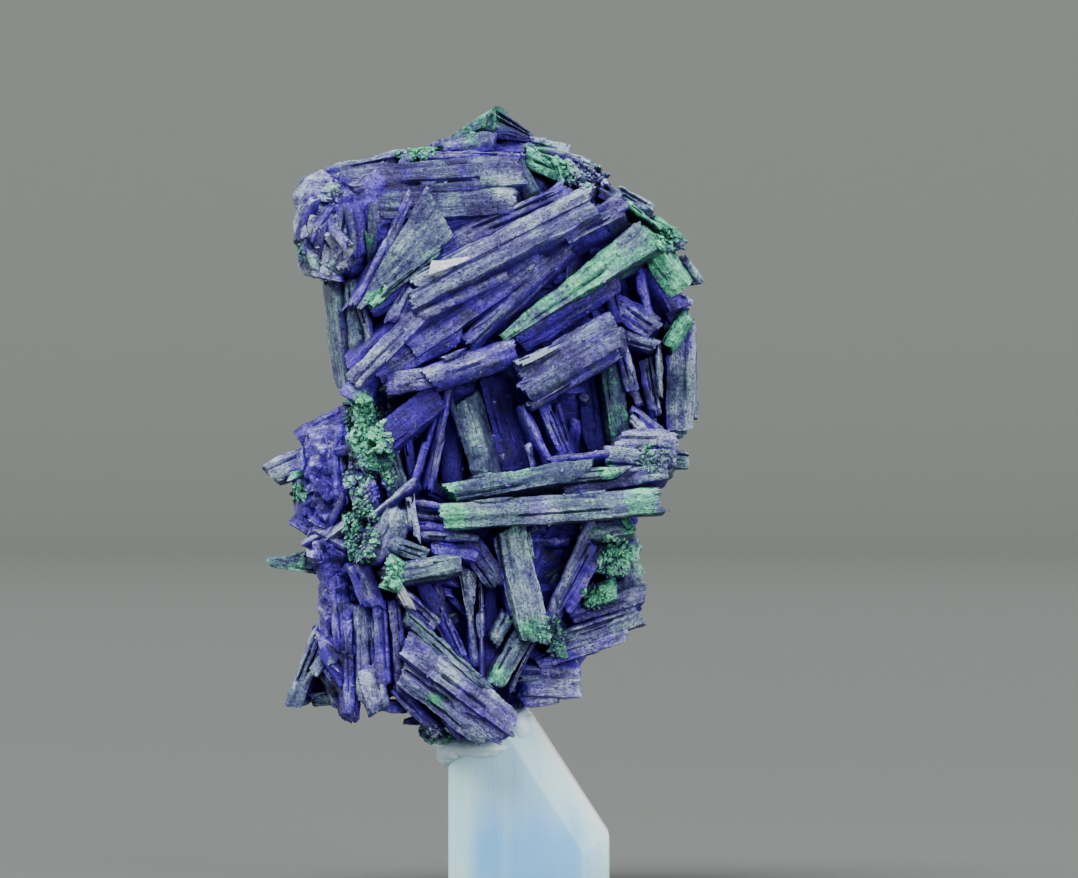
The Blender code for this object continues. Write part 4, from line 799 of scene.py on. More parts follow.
def plastic_finish(settings):
    """Translucent plastic, bluer low in its middle, frosted where it was cut, and with painted highlight
    along its edges and slope.
    """
    made = Finish("frosted_blue_plastic")
    place = made.object_place()
    height = made.node("ShaderNodeSeparateXYZ", None, {"Vector": place}, "Z")
    across = Value(made, height.socket.node.outputs["X"])
    sawn = made.attribute("sawn", "Fac")
    soft = made.noise(place, 0.45, 3.0, 0.5) - 0.5
    bands = made.noise(made.stretch(place, (1.3, 1.3, 0.08)), 1.0, 2.0, 0.5) - 0.5
    scratch = made.noise(made.stretch(place, (9.0, 9.0, 0.6)), 1.0, 4.0, 0.6)
    sockets = {0: place, 1: POST_SLOPE}
    fall = made.node("ShaderNodeVectorMath", {"operation": "DOT_PRODUCT"}, sockets, "Value")
    # Painted highlight: a whitish band inside the sawn slope.
    rim = (fall - POST_SLOPE_REACH).step(-0.5, 0.0)
    core = 1.0 - across.maths("ABSOLUTE").step(1.6, 3.0)
    low = 1.0 - height.step(1.6, 4.6)
    # Paler towards the sides, the top and the slope as scuffed frost and painted highlight; bluer low in the
    # middle.
    blue = core * (low * 0.65 + 0.35) + soft * 0.5 + bands * 0.9 - sawn * 0.3 - rim * 0.8
    body = made.mix(blue.clamp(), tuple(settings.frost_and_painted_highlight), tuple(settings.plastic))
    made.set(Base_Color=made.mix(rim, body, (0.80, 0.90, 0.90)))
    made.set(Roughness=(0.30 + scratch * 0.25).clamp(), IOR=1.49, Transmission_Weight=0.15)
    made.set(Subsurface_Weight=0.3, Subsurface_Scale=0.002, Subsurface_Radius=(0.8, 0.9, 1.0))
    made.bump(scratch * 0.5 + soft, 0.00006, 0.5)
    return made.material


def stage_finish(settings):
    """Plain matt floor, a little lighter where it turns up and catches less light."""
    made = Finish("plain_floor")
    place = made.object_place()
    flat = made.stretch(place, (0.001, 0.001, 0.0))
    far = made.node("ShaderNodeVectorMath", {"operation": "LENGTH"}, {0: flat}, "Value")
    share = far.step(0.0, settings.radius * FLOOR_LIGHTER)
    made.set(Base_Color=made.mix(share, tuple(settings.floor), tuple(settings.wall)), Roughness=0.95)
    return made.material


def deselect_all():
    """Leave nothing selected."""
    bpy.ops.object.select_all(action="DESELECT")


def select_only(obj):
    """Select one object, and make it the active one."""
    deselect_all()
    obj.select_set(True)
    bpy.context.view_layer.objects.active = obj


def start_cube(name, size):
    """Begin a piece as a cube of a size, in edit mode."""
    deselect_all()
    bpy.ops.mesh.primitive_cube_add(size=1.0)
    made = bpy.context.object
    made.name = name
    bpy.ops.object.mode_set(mode="EDIT")
    bpy.ops.mesh.select_all(action="SELECT")
    bpy.ops.transform.resize(value=size)
    return made


def pick_rim(obj):
    """Select the edges round an open sheet."""
    bpy.context.tool_settings.mesh_select_mode = (False, True, False)
    mesh = bmesh.from_edit_mesh(obj.data)
    for face in mesh.faces:
        face.select_set(False)
    for edge in mesh.edges:
        edge.select_set(False)
    for edge in [edge for edge in mesh.edges if edge.is_boundary]:
        edge.select_set(True)
    bmesh.update_edit_mesh(obj.data)


def cut(place, normal, clear=False):
    """Cut all of the mesh by a plane, and with clear take off what lies beyond it."""
    bpy.ops.mesh.select_all(action="SELECT")
    normal = Vector(normal).normalized()
    bpy.ops.mesh.bisect(plane_co=place, plane_no=normal, clear_outer=clear, use_fill=clear, threshold=1e-6)


def cut_even(axis, span, count):
    """Cut the whole mesh into slices along an axis, close to even ones."""
    for k in range(1, count):
        place, normal = [0.0, 0.0, 0.0], [0.0, 0.0, 0.0]
        place[axis], normal[axis] = (k / count - 0.5) * span, 1.0
        cut(place, normal)


def terraces(count, cells, chance):
    """Levels over a crystal's side: strips of their own height, broken along, with fissures between."""
    strips = sorted(chance.sample(range(1, cells[1]), min(count, cells[1] - 1)))
    heights = np.zeros((cells[0] + 1, cells[1] + 1))
    bounds = [0, *strips, cells[1] + 1]
    for low, high in zip(bounds, bounds[1:]):
        breaks = sorted(chance.sample(range(2, cells[0] - 1), chance.choice((0, 1, 1, 2))))
        spans = [0, *breaks, cells[0] + 1]
        for start, end in zip(spans, spans[1:]):
            heights[start:end, low:high] = chance.uniform(-0.05, 0.09)
    for strip in strips:
        start = chance.randrange(0, cells[0] // 2)
        end = chance.randrange(start + 2, cells[0] + 1)
        heights[start:end, strip] -= chance.choice((0.0, 0.12, 0.22))
    return heights


def ends_in(share, least):
    """How much a crystal draws in towards its ends."""
    return 1.0 - (1.0 - least) * np.clip(np.abs(share * 2.0 - 1.0) - 0.7, 0.0, 1.0) / 0.3


def model_master(form, number):
    """Model one crystal, along x: a slab with stepped faces, fissures and broken ends."""
    size, start_taper, end_taper, soft, steps, layers, cells = MASTERS[form]
    chance = random.Random(f"{form}{number}{MASTER_SEED}")
    made = start_cube(f"master_{form}_{number}", size)
    for axis in range(3):
        cut_even(axis, size[axis], cells[axis])
    bpy.ops.object.mode_set(mode="OBJECT")
    shares = points_of(made.data) / np.array(size) + 0.5
    place = np.rint(shares * np.array(cells)).astype(int)
    along, across, through = (shares * 2.0 - 1.0).T
    wide = across * np.sqrt(1.0 - soft * through ** 2 / 2)
    deep = through * np.sqrt(1.0 - soft * across ** 2 / 2)
    if steps:
        for side, edge in ((-1, 0), (1, cells[2])):
            levels = terraces(steps, (cells[0], cells[1]), chance)
            deep += side * levels[place[:, 0], place[:, 1]] * (place[:, 2] == edge)
        for side, edge in ((-1, 0), (1, cells[1])):
            levels = terraces(layers, (cells[0], cells[2]), chance)
            wide += side * levels[place[:, 0], place[:, 2]] * (place[:, 1] == edge)
    share = shares[:, 0]
    if form in TAPERED:
        wide *= start_taper[0] + (end_taper[0] - start_taper[0]) * share
        deep *= start_taper[1] + (end_taper[1] - start_taper[1]) * share
    else:
        wide *= ends_in(share, END_WIDTH)
        deep *= ends_in(share, END_DEPTH)
    for side, edge in ((-1, 0), (1, cells[0])):
        slope = (0.0, 0.0) if form in WHOLE else (chance.uniform(-0.25, 0.25), chance.uniform(-0.2, 0.2))
        near = np.clip(1.0 - np.abs(place[:, 0] - edge) / END_CELLS, 0.0, 1.0)
        rows, columns = cells[1] + 1, cells[2] + 1
        jag = np.array([[chance.uniform(-1.0, 1.0) for _ in range(columns)] for _ in range(rows)])
        broken = jag[place[:, 1], place[:, 2]] * (WHOLE_JAG if form in WHOLE else JAG) * (near > 0.7)
        reach = ((slope[0] * across + slope[1] * through) * size[1] + broken) / size[0]
        along = along + reach * near * 2.0
    shape = np.stack((along, wide, deep), 1) * np.array(size) / 2
    made.data.vertices.foreach_set("co", shape.ravel())
    made.data.update()
    return made


def model_grain(number):
    """Model one rounded grain of malachite crust."""
    deselect_all()
    bpy.ops.mesh.primitive_ico_sphere_add(subdivisions=2, radius=0.5)
    made = bpy.context.object
    made.name = f"master_grain_{number}"
    chance = random.Random(f"grain{number}{MASTER_SEED}")
    for vertex in made.data.vertices:
        vertex.co *= chance.uniform(0.8, 1.2)
    return made


def points_of(mesh):
    """The vertices of a mesh as rows of numbers."""
    points = np.empty(len(mesh.vertices) * 3)
    mesh.vertices.foreach_get("co", points)
    return points.reshape(-1, 3)


def give_stone(mesh, world, grain, look, chance):
    """Write a piece's tint and its grain, the place along, across and through its crystal."""
    write_tint(mesh, world, look, chance)
    offset = np.array([chance.uniform(0.0, 90.0) for _ in range(3)])
    layer = mesh.attributes.new("grain", "FLOAT_VECTOR", "POINT")
    layer.data.foreach_set("vector", (grain + offset).ravel())
    mesh.update()


def crystal_axes(start, end, face):
    """A crystal's own axes: along, across and out of its face."""
    along = (end - start).normalized()
    face = (face - along * face.dot(along)).normalized()
    return along, face.cross(along), face


def place_copy(master, size, crystal, look, chance):
    """Copy a master onto a crystal's place, with its tint and its grain."""
    start, end, width, thickness, face, _, slant, root = crystal
    axes = crystal_axes(start, end, face)
    mesh = master.data.copy()
    points = points_of(mesh) / np.array(size)
    flips = (chance.choice((-1, 1)), chance.choice((-1, 1)))
    points = points * (1.0, *flips)
    spans = np.array(((end - start).length, width, thickness + root))
    reach = points * spans
    reach[:, 0] += slant * points[:, 1] * points[:, 0] * 2.0
    world = np.array((start + end) / 2) - np.array(axes[2]) * root / 2 + reach @ np.array(axes)
    mesh.vertices.foreach_set("co", (world * MM).ravel())
    if flips[0] * flips[1] < 0:
        mesh.flip_normals()
    give_stone(mesh, world, reach, look, chance)
    made = bpy.data.objects.new("crystal", mesh)
    bpy.context.scene.collection.objects.link(made)
    return made


def write_tint(mesh, world, look, chance):
    """Give a crystal its look, a little varied, and the patches that it lies under."""
    wander = [chance.uniform(-most, most) for most in TINT_WANDER]
    tint = np.repeat((np.array(LOOKS[look]) + np.array((*wander, 0.0)))[None, :], len(world), axis=0)
    for (x, z), radius, patch in PATCHES:
        away = np.hypot(world[:, 0] - x, world[:, 2] - z) / radius
        share = np.clip(1.5 - away, 0.0, 1.0) * (world[:, 1] < 0.5)
        tint += (np.array(LOOKS[patch]) - tint) * share[:, None]
    tint = np.clip(tint, (0.0, LEAST_DUST_AS_PAINTED_SHADE, 0.0, 0.0), 1.0)
    layer = mesh.attributes.new("tint", "FLOAT_COLOR", "POINT")
    layer.data.foreach_set("color", tint.ravel())


def join(pieces, name):
    """Join objects into one piece."""
    deselect_all()
    for piece in pieces:
        piece.select_set(True)
    bpy.context.view_layer.objects.active = pieces[0]
    bpy.ops.object.join()
    made = bpy.context.object
    made.name = name
    made.data.name = name
    return made


def roughen(obj, size, strength):
    """Push a piece's surface in and out by a noise of a size, and settle it."""
    texture = bpy.data.textures.new(f"{obj.name}_noise", "CLOUDS")
    texture.noise_scale = size
    select_only(obj)
    displace = obj.modifiers.new("roughen", "DISPLACE")
    displace.texture = texture
    displace.texture_coords = "LOCAL"
    displace.strength = strength
    displace.mid_level = 0.5
    bpy.ops.object.modifier_apply(modifier=displace.name)


def finish_piece(obj, material, node, angle=SHARP_ANGLE):
    """Give a piece its finish and its body, and hide the node that it stands for."""
    obj.data.materials.clear()
    obj.data.materials.append(material)
    select_only(obj)
    bpy.ops.object.shade_smooth_by_angle(angle=math.radians(angle))
    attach(obj, "root")
    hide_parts(node)


def finish_stone(obj, angle):
    """Give a piece of the stone its finish."""
    finish_piece(obj, bpy.data.materials["azurite_and_malachite"], "azurite_cluster", angle)


def front_crystal(row):
    """A listed crystal as points in space: ends, width, thickness, facing, form, slant and root."""
    (x0, z0), (x1, z1), (y0, y1), width, thickness, roll, form, slant = row[:8]
    start, end = Vector((x0, y0, z0)), Vector((x1, y1, z1))
    along = (end - start).normalized()
    face = Matrix.Rotation(-math.radians(roll), 3, along) @ Vector((0, -1, 0))
    return start, end, width, thickness, face, form, slant, ROOT


def inside_outline(x, z):
    """True if the point lies inside the outline of the front view."""
    inside = False
    for (x0, z0), (x1, z1) in zip(OUTLINE, OUTLINE[1:] + OUTLINE[:1]):
        if (z0 > z) != (z1 > z) and x < x0 + (z - z0) * (x1 - x0) / (z1 - z0):
            inside = not inside
    return inside


def clear_of_outline(point, thickness):
    """True if a crystal end of this thickness lies inside the front outline."""
    reach = thickness / 2 + OUTLINE_MARGIN
    around = ((reach, 0), (-reach, 0), (0, reach), (0, -reach))
    return all(inside_outline(point.x + dx, point.z + dz) for dx, dz in around)


def mass_section(z):
    """Centre and half sizes of the mass at a height: (x, y, half width, half depth)."""
    z = min(max(z, MASS[0][0]), MASS[-1][0])
    for low, high in zip(MASS, MASS[1:]):
        if z <= high[0]:
            share = (z - low[0]) / (high[0] - low[0])
            left, right, front, back = (a + (b - a) * share for a, b in zip(low[1:], high[1:]))
            return (left + right) / 2, (front + back) / 2, (right - left) / 2, (back - front) / 2
    raise ValueError("the height lies outside the mass")


def round_square(angle):
    """A point of a rounded square of half size 1, at an angle."""
    c, s = math.cos(angle), math.sin(angle)
    return (math.copysign(abs(c) ** MASS_SQUARENESS, c), math.copysign(abs(s) ** MASS_SQUARENESS, s))


def mass_rings():
    """The rings of the mass that the crystals grew on."""
    chance = random.Random(MASS_SEED)
    rings = []
    for row in MASS:
        x, y, half_width, half_depth = mass_section(row[0])
        ring = []
        for k in range(MASS_SIDES):
            u, v = round_square(2 * math.pi * (k + 0.5) / MASS_SIDES)
            rough = chance.uniform(-MASS_ROUGHNESS, MASS_ROUGHNESS)
            ring.append(Vector((x + u * (half_width + rough), y + v * (half_depth + rough), row[0])))
        rings.append(ring)
    return rings


def sheaf_crystals():
    """The crystals of the sides and back, in sheaves over the mass and inside the front outline."""
    chance = random.Random(SHEAF_SEED)
    made = []
    for bearing, height, lean, count, length, width, thickness in SHEAVES:
        angle = math.radians(bearing)
        x, y, half_width, half_depth = mass_section(height)
        u, v = round_square(angle)
        out = Vector((math.cos(angle) / half_width, math.sin(angle) / half_depth, 0)).normalized()
        level = Vector((0, 0, 1)).cross(out)
        along = level * math.cos(math.radians(lean)) + Vector((0, 0, 1)) * math.sin(math.radians(lean))
        beside = out.cross(along)
        centre = Vector((x + u * half_width, y + v * half_depth, height))
        for k in range(count):
            step = (k - (count - 1) / 2) * width * SHEAF_SPACING
            rise = chance.uniform(-0.2, 0.25) - 0.1 * abs(k - (count - 1) / 2)
            middle = centre + beside * step + out * rise + along * chance.uniform(-0.8, 0.8)
            turn = Matrix.Rotation(math.radians(chance.uniform(-9, 9)), 3, out)
            half = turn @ along * (length * chance.uniform(0.36, 0.56))
            size = chance.uniform(0.75, 1.2)
            facing = Matrix.Rotation(math.radians(chance.uniform(-25, 25)), 3, along) @ out
            form = chance.choice(SHEAF_FORMS)
            tilt = out * chance.uniform(-0.5, 0.5)
            slant = chance.uniform(-0.4, 0.4)
            ends = [middle - half - tilt, middle + half + tilt]
            thick = thickness * size
            while not all(clear_of_outline(end, thick) for end in ends) and half.length > SHEAF_LEAST:
                half = half * 0.85
                middle = middle.lerp(Vector((x, middle.y, middle.z)), 0.1)
                ends = [middle - half - tilt, middle + half + tilt]
            if half.length > SHEAF_LEAST:
                made.append((*ends, width * size, thick, facing, form, slant, BACK_ROOT))
    return made


def split_crystal(crystal, chance):
    """A wide crystal as two side by side, as the real ones are grown."""
    start, end, width, thickness, face, form, slant, root = crystal
    along, across, face = crystal_axes(start, end, face)
    share = chance.uniform(0.42, 0.6)
    made = []
    for part, side in ((share, -1), (1.0 - share, 1)):
        shift = across * side * width * (0.5 - part / 2) + face * chance.uniform(-0.12, 0.08)
        tips = (chance.uniform(-0.3, 0.1), chance.uniform(-0.1, 0.3))
        made.append((start + shift - along * tips[0], end + shift - along * tips[1],
                     width * (part + 0.08), thickness * chance.uniform(0.85, 1.05), face, form, slant, root))
    return made


def slivers_of(crystal, chance):
    """Splinters that lie along a crystal, mostly on its front and along its edges."""
    start, end, width, thickness, face = crystal[:5]
    length = (end - start).length
    along = (end - start) / length
    face = (face - along * face.dot(along)).normalized()
    across = face.cross(along)
    made = []
    for _ in range(int(length * (0.8 + width) * SLIVERS_PER_MM + chance.random())):
        middle = start + along * length * chance.uniform(0.15, 0.85)
        middle += across * width * chance.choice((-0.44, -0.2, 0.2, 0.44)) + face * (thickness * 0.36)
        turn = Matrix.Rotation(math.radians(chance.gauss(0.0, 2.0)), 3, face)
        half = turn @ along * chance.uniform(*SLIVER_HALF)
        wide, thick = chance.uniform(*SLIVER_WIDTH), chance.uniform(*SLIVER_THICKNESS)
        ends = (middle - half, middle + half)
        if all(clear_of_outline(tip, wide + 0.3) for tip in ends):
            made.append((*ends, wide, thick, face, "chip", 0.3, 0.0))
    return made


def grow(crystals, looks, name, chance, settings, slivers=True):
    """Copy masters onto crystals, with slivers along them, and join and roughen them."""
    pieces = []
    for crystal, look in zip(crystals, looks):
        wide = crystal[2] > SPLIT_OVER and crystal[5] in ("plank", "lath")
        for part in split_crystal(crystal, chance) if wide else [crystal]:
            bits = [part, *slivers_of(part, chance)] if slivers and part[5] not in TAPERED else [part]
            for bit in bits:
                form = bit[5]
                master = bpy.data.objects[f"master_{form}_{chance.randrange(MASTER_VARIANTS)}"]
                pieces.append(place_copy(master, MASTERS[form][0], bit, look, chance))
    made = join(pieces, name)
    strengths = (settings.waviness * 2, settings.roughening * 2, settings.roughening)
    for size, strength in zip(CRYSTAL_NOISE, strengths):
        roughen(made, size, strength)
    finish_stone(made, CRISP_ANGLE)


def grown_from(group):
    """The joined pieces that stand for the stone so far, as one tree for rays."""
    verts, faces = [], []
    for name in group:
        mesh = bpy.data.objects[name].data
        first = len(verts)
        verts += [vertex.co for vertex in mesh.vertices]
        faces += [[first + index for index in polygon.vertices] for polygon in mesh.polygons]
    return BVHTree.FromPolygons(verts, faces)


def scatter(master_names, places, size_range, looks, name, chance, stretch):
    """Put small copies of masters at places, each (point, normal, along), and join them."""
    pieces = []
    for point, normal, along in places:
        form = chance.choice(master_names)
        master = bpy.data.objects[form]
        size = MASTERS["chip"][0] if "chip" in form else (1.0, 1.0, 1.0)
        length, width, thick = (chance.uniform(*size_range) * share for share in stretch)
        half = along * length / 2
        crystal = (point - half, point + half, width, thick, normal, "chip", 0.0, 0.0)
        pieces.append(place_copy(master, size, crystal, chance.choice(looks), chance))
    return join(pieces, name)


def place_in_oval(middle, half, chance):
    """A random place (x, z) in an oval of the front."""
    angle, far = chance.uniform(0, 2 * math.pi), math.sqrt(chance.random())
    return middle[0] + half[0] * far * math.cos(angle), middle[1] + half[1] * far * math.sin(angle)


def meet_front(tree, place):
    """Where a line from the front at (x, z) meets the stone, and which way the surface faces there."""
    return tree.ray_cast(Vector((place[0], BEFORE_STONE, place[1])) * MM, Vector((0, 1, 0)))[:2]


def any_direction(chance):
    """A random direction."""
    while True:
        made = Vector([chance.uniform(-1, 1) for _ in range(3)])
        if 0.1 < made.length < 1.0:
            return made.normalized()


class SPECIMEN_OT_masters(bpy.types.Operator):
    """Model the crystals that the others are copied from"""

    bl_idname = "specimen.masters"
    bl_label = "Model master crystals"

    def execute(self, context):
        for form in MASTERS:
            for number in range(MASTER_VARIANTS):
                model_master(form, number).hide_render = True
        for number in range(MASTER_VARIANTS):
            model_grain(number).hide_render = True
        crystal_finish("azurite_and_malachite", context.scene.specimen_stone)
        return {"FINISHED"}


class SPECIMEN_OT_mass(bpy.types.Operator):
    """Model the rough mass that the crystals grew on"""

    bl_idname = "specimen.mass"
    bl_label = "Model the mass"

    def execute(self, context):
        chance = random.Random("mass")
        pieces = [self.model_core(context)]
        for centre, half, look in LUMPS:
            deselect_all()
            bpy.ops.mesh.primitive_ico_sphere_add(subdivisions=5, radius=1.0)
            lump = context.object
            points = points_of(lump.data)
            points /= (np.abs(points) ** BLOCKINESS).sum(1, keepdims=True) ** (1.0 / BLOCKINESS)
            points = points * np.array(half) + np.array(centre)
            lump.data.vertices.foreach_set("co", (points * MM).ravel())
            give_stone(lump.data, points, points, look, chance)
            pieces.append(lump)
        made = join(pieces, "rough_mass")
        for size, strength in MASS_NOISE:
            roughen(made, size, strength)
        finish_stone(made, ROUGH_ANGLE)
        return {"FINISHED"}

    def model_core(self, context):
        """The mass itself, ring by ring."""
        shape = bmesh.new()
        rows = [[shape.verts.new(point * MM) for point in ring] for ring in mass_rings()]
        for lower, upper in zip(rows, rows[1:]):
            for i in range(MASS_SIDES):
                j = (i + 1) % MASS_SIDES
                shape.faces.new((lower[i], lower[j], upper[j], upper[i]))
        shape.faces.new(rows[0])
        shape.faces.new(rows[-1])
        bmesh.ops.recalc_face_normals(shape, faces=shape.faces)
        mesh = bpy.data.meshes.new("mass_core")
        shape.to_mesh(mesh)
        shape.free()
        made = bpy.data.objects.new("mass_core", mesh)
        context.scene.collection.objects.link(made)
        select_only(made)
        bpy.ops.object.mode_set(mode="EDIT")
        bpy.ops.mesh.select_all(action="SELECT")
        bpy.ops.mesh.subdivide(number_cuts=11)
        bpy.ops.object.mode_set(mode="OBJECT")
        points = points_of(mesh) / MM
        give_stone(mesh, points, points, "dusk", random.Random("core"))
        return made


class SPECIMEN_OT_crystals(bpy.types.Operator):
    """Model one group of the front's crystals"""

    bl_idname = "specimen.crystals"
    bl_label = "Model a group of crystals"

    group: StringProperty(name="Group", description="Which group of crystals", default="upper_sheaf")

    def execute(self, context):
        rows = GROUPS[self.group]
        crystals = [front_crystal(row) for row in rows]
        looks = [row[8] for row in rows]
        grow(crystals, looks, self.group, random.Random(self.group), context.scene.specimen_stone)
        return {"FINISHED"}


class SPECIMEN_OT_blocks(bpy.types.Operator):
    """Model the rough, blocky stretches of the front"""

    bl_idname = "specimen.blocks"
    bl_label = "Model blocky stretches"

    def execute(self, context):
        chance = random.Random("blocks")
        tree = grown_from(["rough_mass"])
        crystals, looks = [], []
        for middle, half, sizes, count, choice in BLOCKY:
            for _ in range(count):
                place = place_in_oval(middle, half, chance)
                size = chance.uniform(*sizes)
                hit, normal = meet_front(tree, place)
                if hit is None or not clear_of_outline(Vector((place[0], 0.0, place[1])), size * 0.5):
                    continue
                along = any_direction(chance)
                face = (normal + any_direction(chance) * 0.5).normalized()
                reach, heart = along * size / 2, hit / MM - normal * chance.uniform(0.05, 0.3)
                ends = (heart - reach, heart + reach)
                if all(clear_of_outline(end, size * 0.5) for end in ends):
                    wide, thick = size * chance.uniform(0.6, 0.95), size * chance.uniform(0.6, 0.9)
                    crystals.append((*ends, wide, thick, face, "nugget", 0.2, 0.2))
                    looks.append(chance.choice(choice))
        grow(crystals, looks, "rough_blocks", chance, context.scene.specimen_stone, slivers=False)
        return {"FINISHED"}


class SPECIMEN_OT_sheaves(bpy.types.Operator):
    """Model the crystals of the sides and back"""

    bl_idname = "specimen.sheaves"
    bl_label = "Model the sides and back"

    def execute(self, context):
        chance = random.Random("sides and back")
        crystals = sheaf_crystals()
        looks = [chance.choice(SHEAF_LOOKS) for _ in crystals]
        grow(crystals, looks, "side_and_back_sheaves", chance, context.scene.specimen_stone)
        return {"FINISHED"}


class SPECIMEN_OT_druse(bpy.types.Operator):
    """Model the small crystals on the bare sides and back"""

    bl_idname = "specimen.druse"
    bl_label = "Model the druse"

    def execute(self, context):
        settings = context.scene.specimen_stone
        chance = random.Random("druse")
        tree = grown_from(["rough_mass"])
        lean = [any_direction(chance) for _ in range(DRUSE_PATCHES)]
        places = []
        while len(places) < settings.druse:
            z = chance.uniform(*DRUSE_HEIGHTS)
            x, y, half_width, half_depth = mass_section(z)
            angle = chance.uniform(-math.pi, math.pi)
            u, v = round_square(angle)
            outside = Vector((x + u * half_width * 1.6, y + v * half_depth * 1.6, z)) * MM
            heart = Vector((x, y, z)) * MM
            hit, normal, _, _ = tree.ray_cast(outside, (heart - outside).normalized())
            if hit is None or not clear_of_outline(hit / MM, 0.5):
                continue
            patch = lean[int(z / DRUSE_PATCH) * 4 + int((angle + math.pi) / math.pi * 2) % 4]
            along = (patch - normal * patch.dot(normal) * 0.8 + any_direction(chance) * 0.35).normalized()
            middle = hit / MM + normal * DRUSE_RISE
            if all(clear_of_outline(middle + along * way, 0.3) for way in (-DRUSE_REACH, DRUSE_REACH)):
                places.append((middle, normal, along))
        masters = [f"master_chip_{k}" for k in range(MASTER_VARIANTS)]
        made = scatter(masters, places, DRUSE_SIZES, SHEAF_LOOKS, "druse", chance, DRUSE_STRETCH)
        roughen(made, DRUSE_NOISE, settings.roughening)
        finish_stone(made, SHARP_ANGLE)
        return {"FINISHED"}


class SPECIMEN_OT_crust(bpy.types.Operator):
    """Model the malachite crust and the crumbs of the front"""

    bl_idname = "specimen.crust"
    bl_label = "Model crust and crumbs"

    def execute(self, context):
        chance = random.Random("crust")
        tree = grown_from([*GROUPS, "rough_mass"])
        pieces = []
        for middle, half, count, look in CRUSTS:
            places = []
            for _ in range(count * CRUST_DENSITY):
                self.add_front_place(tree, place_in_oval(middle, half, chance), places, chance)
            pieces.append(self.grains(places, CRUST_GRAINS, (look, look, "green", "teal"), "crust", chance))
        finish_stone(join(pieces, "malachite_crust"), ROUGH_ANGLE)
        places = []
        while len(places) < context.scene.specimen_stone.crumbs:
            place = (chance.uniform(*CRUMB_ACROSS), chance.uniform(*CRUMB_HEIGHTS))
            if inside_outline(*place):
                self.add_front_place(tree, place, places, chance)
        made = self.grains(places, CRUMB_GRAINS, ("lavender", "violet", "blue", "teal"), "crumbs", chance)
        finish_stone(made, ROUGH_ANGLE)
        return {"FINISHED"}

    def grains(self, places, size_range, looks, name, chance):
        """Grains and splinters at places, joined."""
        forms = ("grain", "chip", "chip")
        masters = [f"master_{form}_{k}" for k in range(MASTER_VARIANTS) for form in forms]
        return scatter(masters, places, size_range, looks, name, chance, GRAIN_STRETCH)

    def add_front_place(self, tree, place, places, chance):
        """Add where a line from the front meets the stone to the places, facing the front."""
        hit, normal = meet_front(tree, place)
        if hit is None:
            return
        if normal.y > 0:
            normal = -normal
        places.append((hit / MM, normal, any_direction(chance)))


class SPECIMEN_OT_dust_and_painted_shade(bpy.types.Operator):
    """Find how open each point of the stone lies, for its dust and for painted shade in its recesses"""

    bl_idname = "specimen.weathering"
    bl_label = "Dust and shade the stone"

    def execute(self, context):
        pieces = [item for item in bpy.data.objects
                  if item.type == "MESH" and item.data.attributes.get("tint")
                  and not item.name.startswith("master")]
        places = [points_of(item.data) / MM for item in pieces]
        every = np.concatenate(places)
        low = every.min(0) - AIR_MARGIN
        cells = np.ceil((every.max(0) + AIR_MARGIN - low) / AIR_CELL).astype(int)
        index = np.floor((every - low) / AIR_CELL).astype(int)
        filled = np.zeros(cells)
        filled[tuple(index.T)] = 1.0
        spectrum = np.fft.rfftn(filled)
        density = [self.soften(spectrum, cells, blur) for _, blur in AIR_REACHES]
        for item, points in zip(pieces, places):
            normals = np.empty(len(item.data.vertices) * 3)
            item.data.vertex_normals.foreach_get("vector", normals)
            normals = normals.reshape(-1, 3)
            crowded = np.zeros(len(points))
            for (reach, _), field in zip(AIR_REACHES, density):
                ahead = np.floor((points + normals * reach - low) / AIR_CELL).astype(int)
                crowded += field[tuple(np.clip(ahead, 0, cells - 1).T)]
            air = np.clip(1.0 - crowded * AIR_GAIN, 0.0, 1.0)
            layer = item.data.attributes.new("open", "FLOAT", "POINT")
            layer.data.foreach_set("value", air)
        return {"FINISHED"}

    def soften(self, spectrum, cells, blur):
        """The filled cells, blurred by a bell of a width in millimetres."""
        bell = 1.0
        for axis, count in enumerate(cells):
            waves = np.fft.rfftfreq(count, AIR_CELL) if axis == 2 else np.fft.fftfreq(count, AIR_CELL)
            shape = [1, 1, 1]
            shape[axis] = len(waves)
            bell = bell * np.exp(-2.0 * (math.pi * blur * waves) ** 2).reshape(shape)
        return np.fft.irfftn(spectrum * bell, s=cells)


class SPECIMEN_OT_putty(bpy.types.Operator):
    """Model the pressed putty"""

    bl_idname = "specimen.putty"
    bl_label = "Model the putty"

    def execute(self, context):
        pieces = []
        for centre, half in PUTTY_LUMPS:
            deselect_all()
            bpy.ops.mesh.primitive_uv_sphere_add(segments=32, ring_count=20, radius=1.0)
            lump = context.object
            bpy.ops.object.mode_set(mode="EDIT")
            bpy.ops.transform.resize(value=[share * MM * 0.98 for share in half])
            bpy.ops.transform.translate(value=[share * MM for share in centre])
            bpy.ops.object.mode_set(mode="OBJECT")
            pieces.append(lump)
        made = join(pieces, "pressed_putty")
        made.data.remesh_voxel_size = PUTTY_CELL
        bpy.ops.object.voxel_remesh()
        for size, strength in PUTTY_NOISE:
            roughen(made, size, strength)
        finish_piece(made, putty_finish(context.scene.specimen_post), "mounting_putty", SOFT_ANGLE)
        return {"FINISHED"}


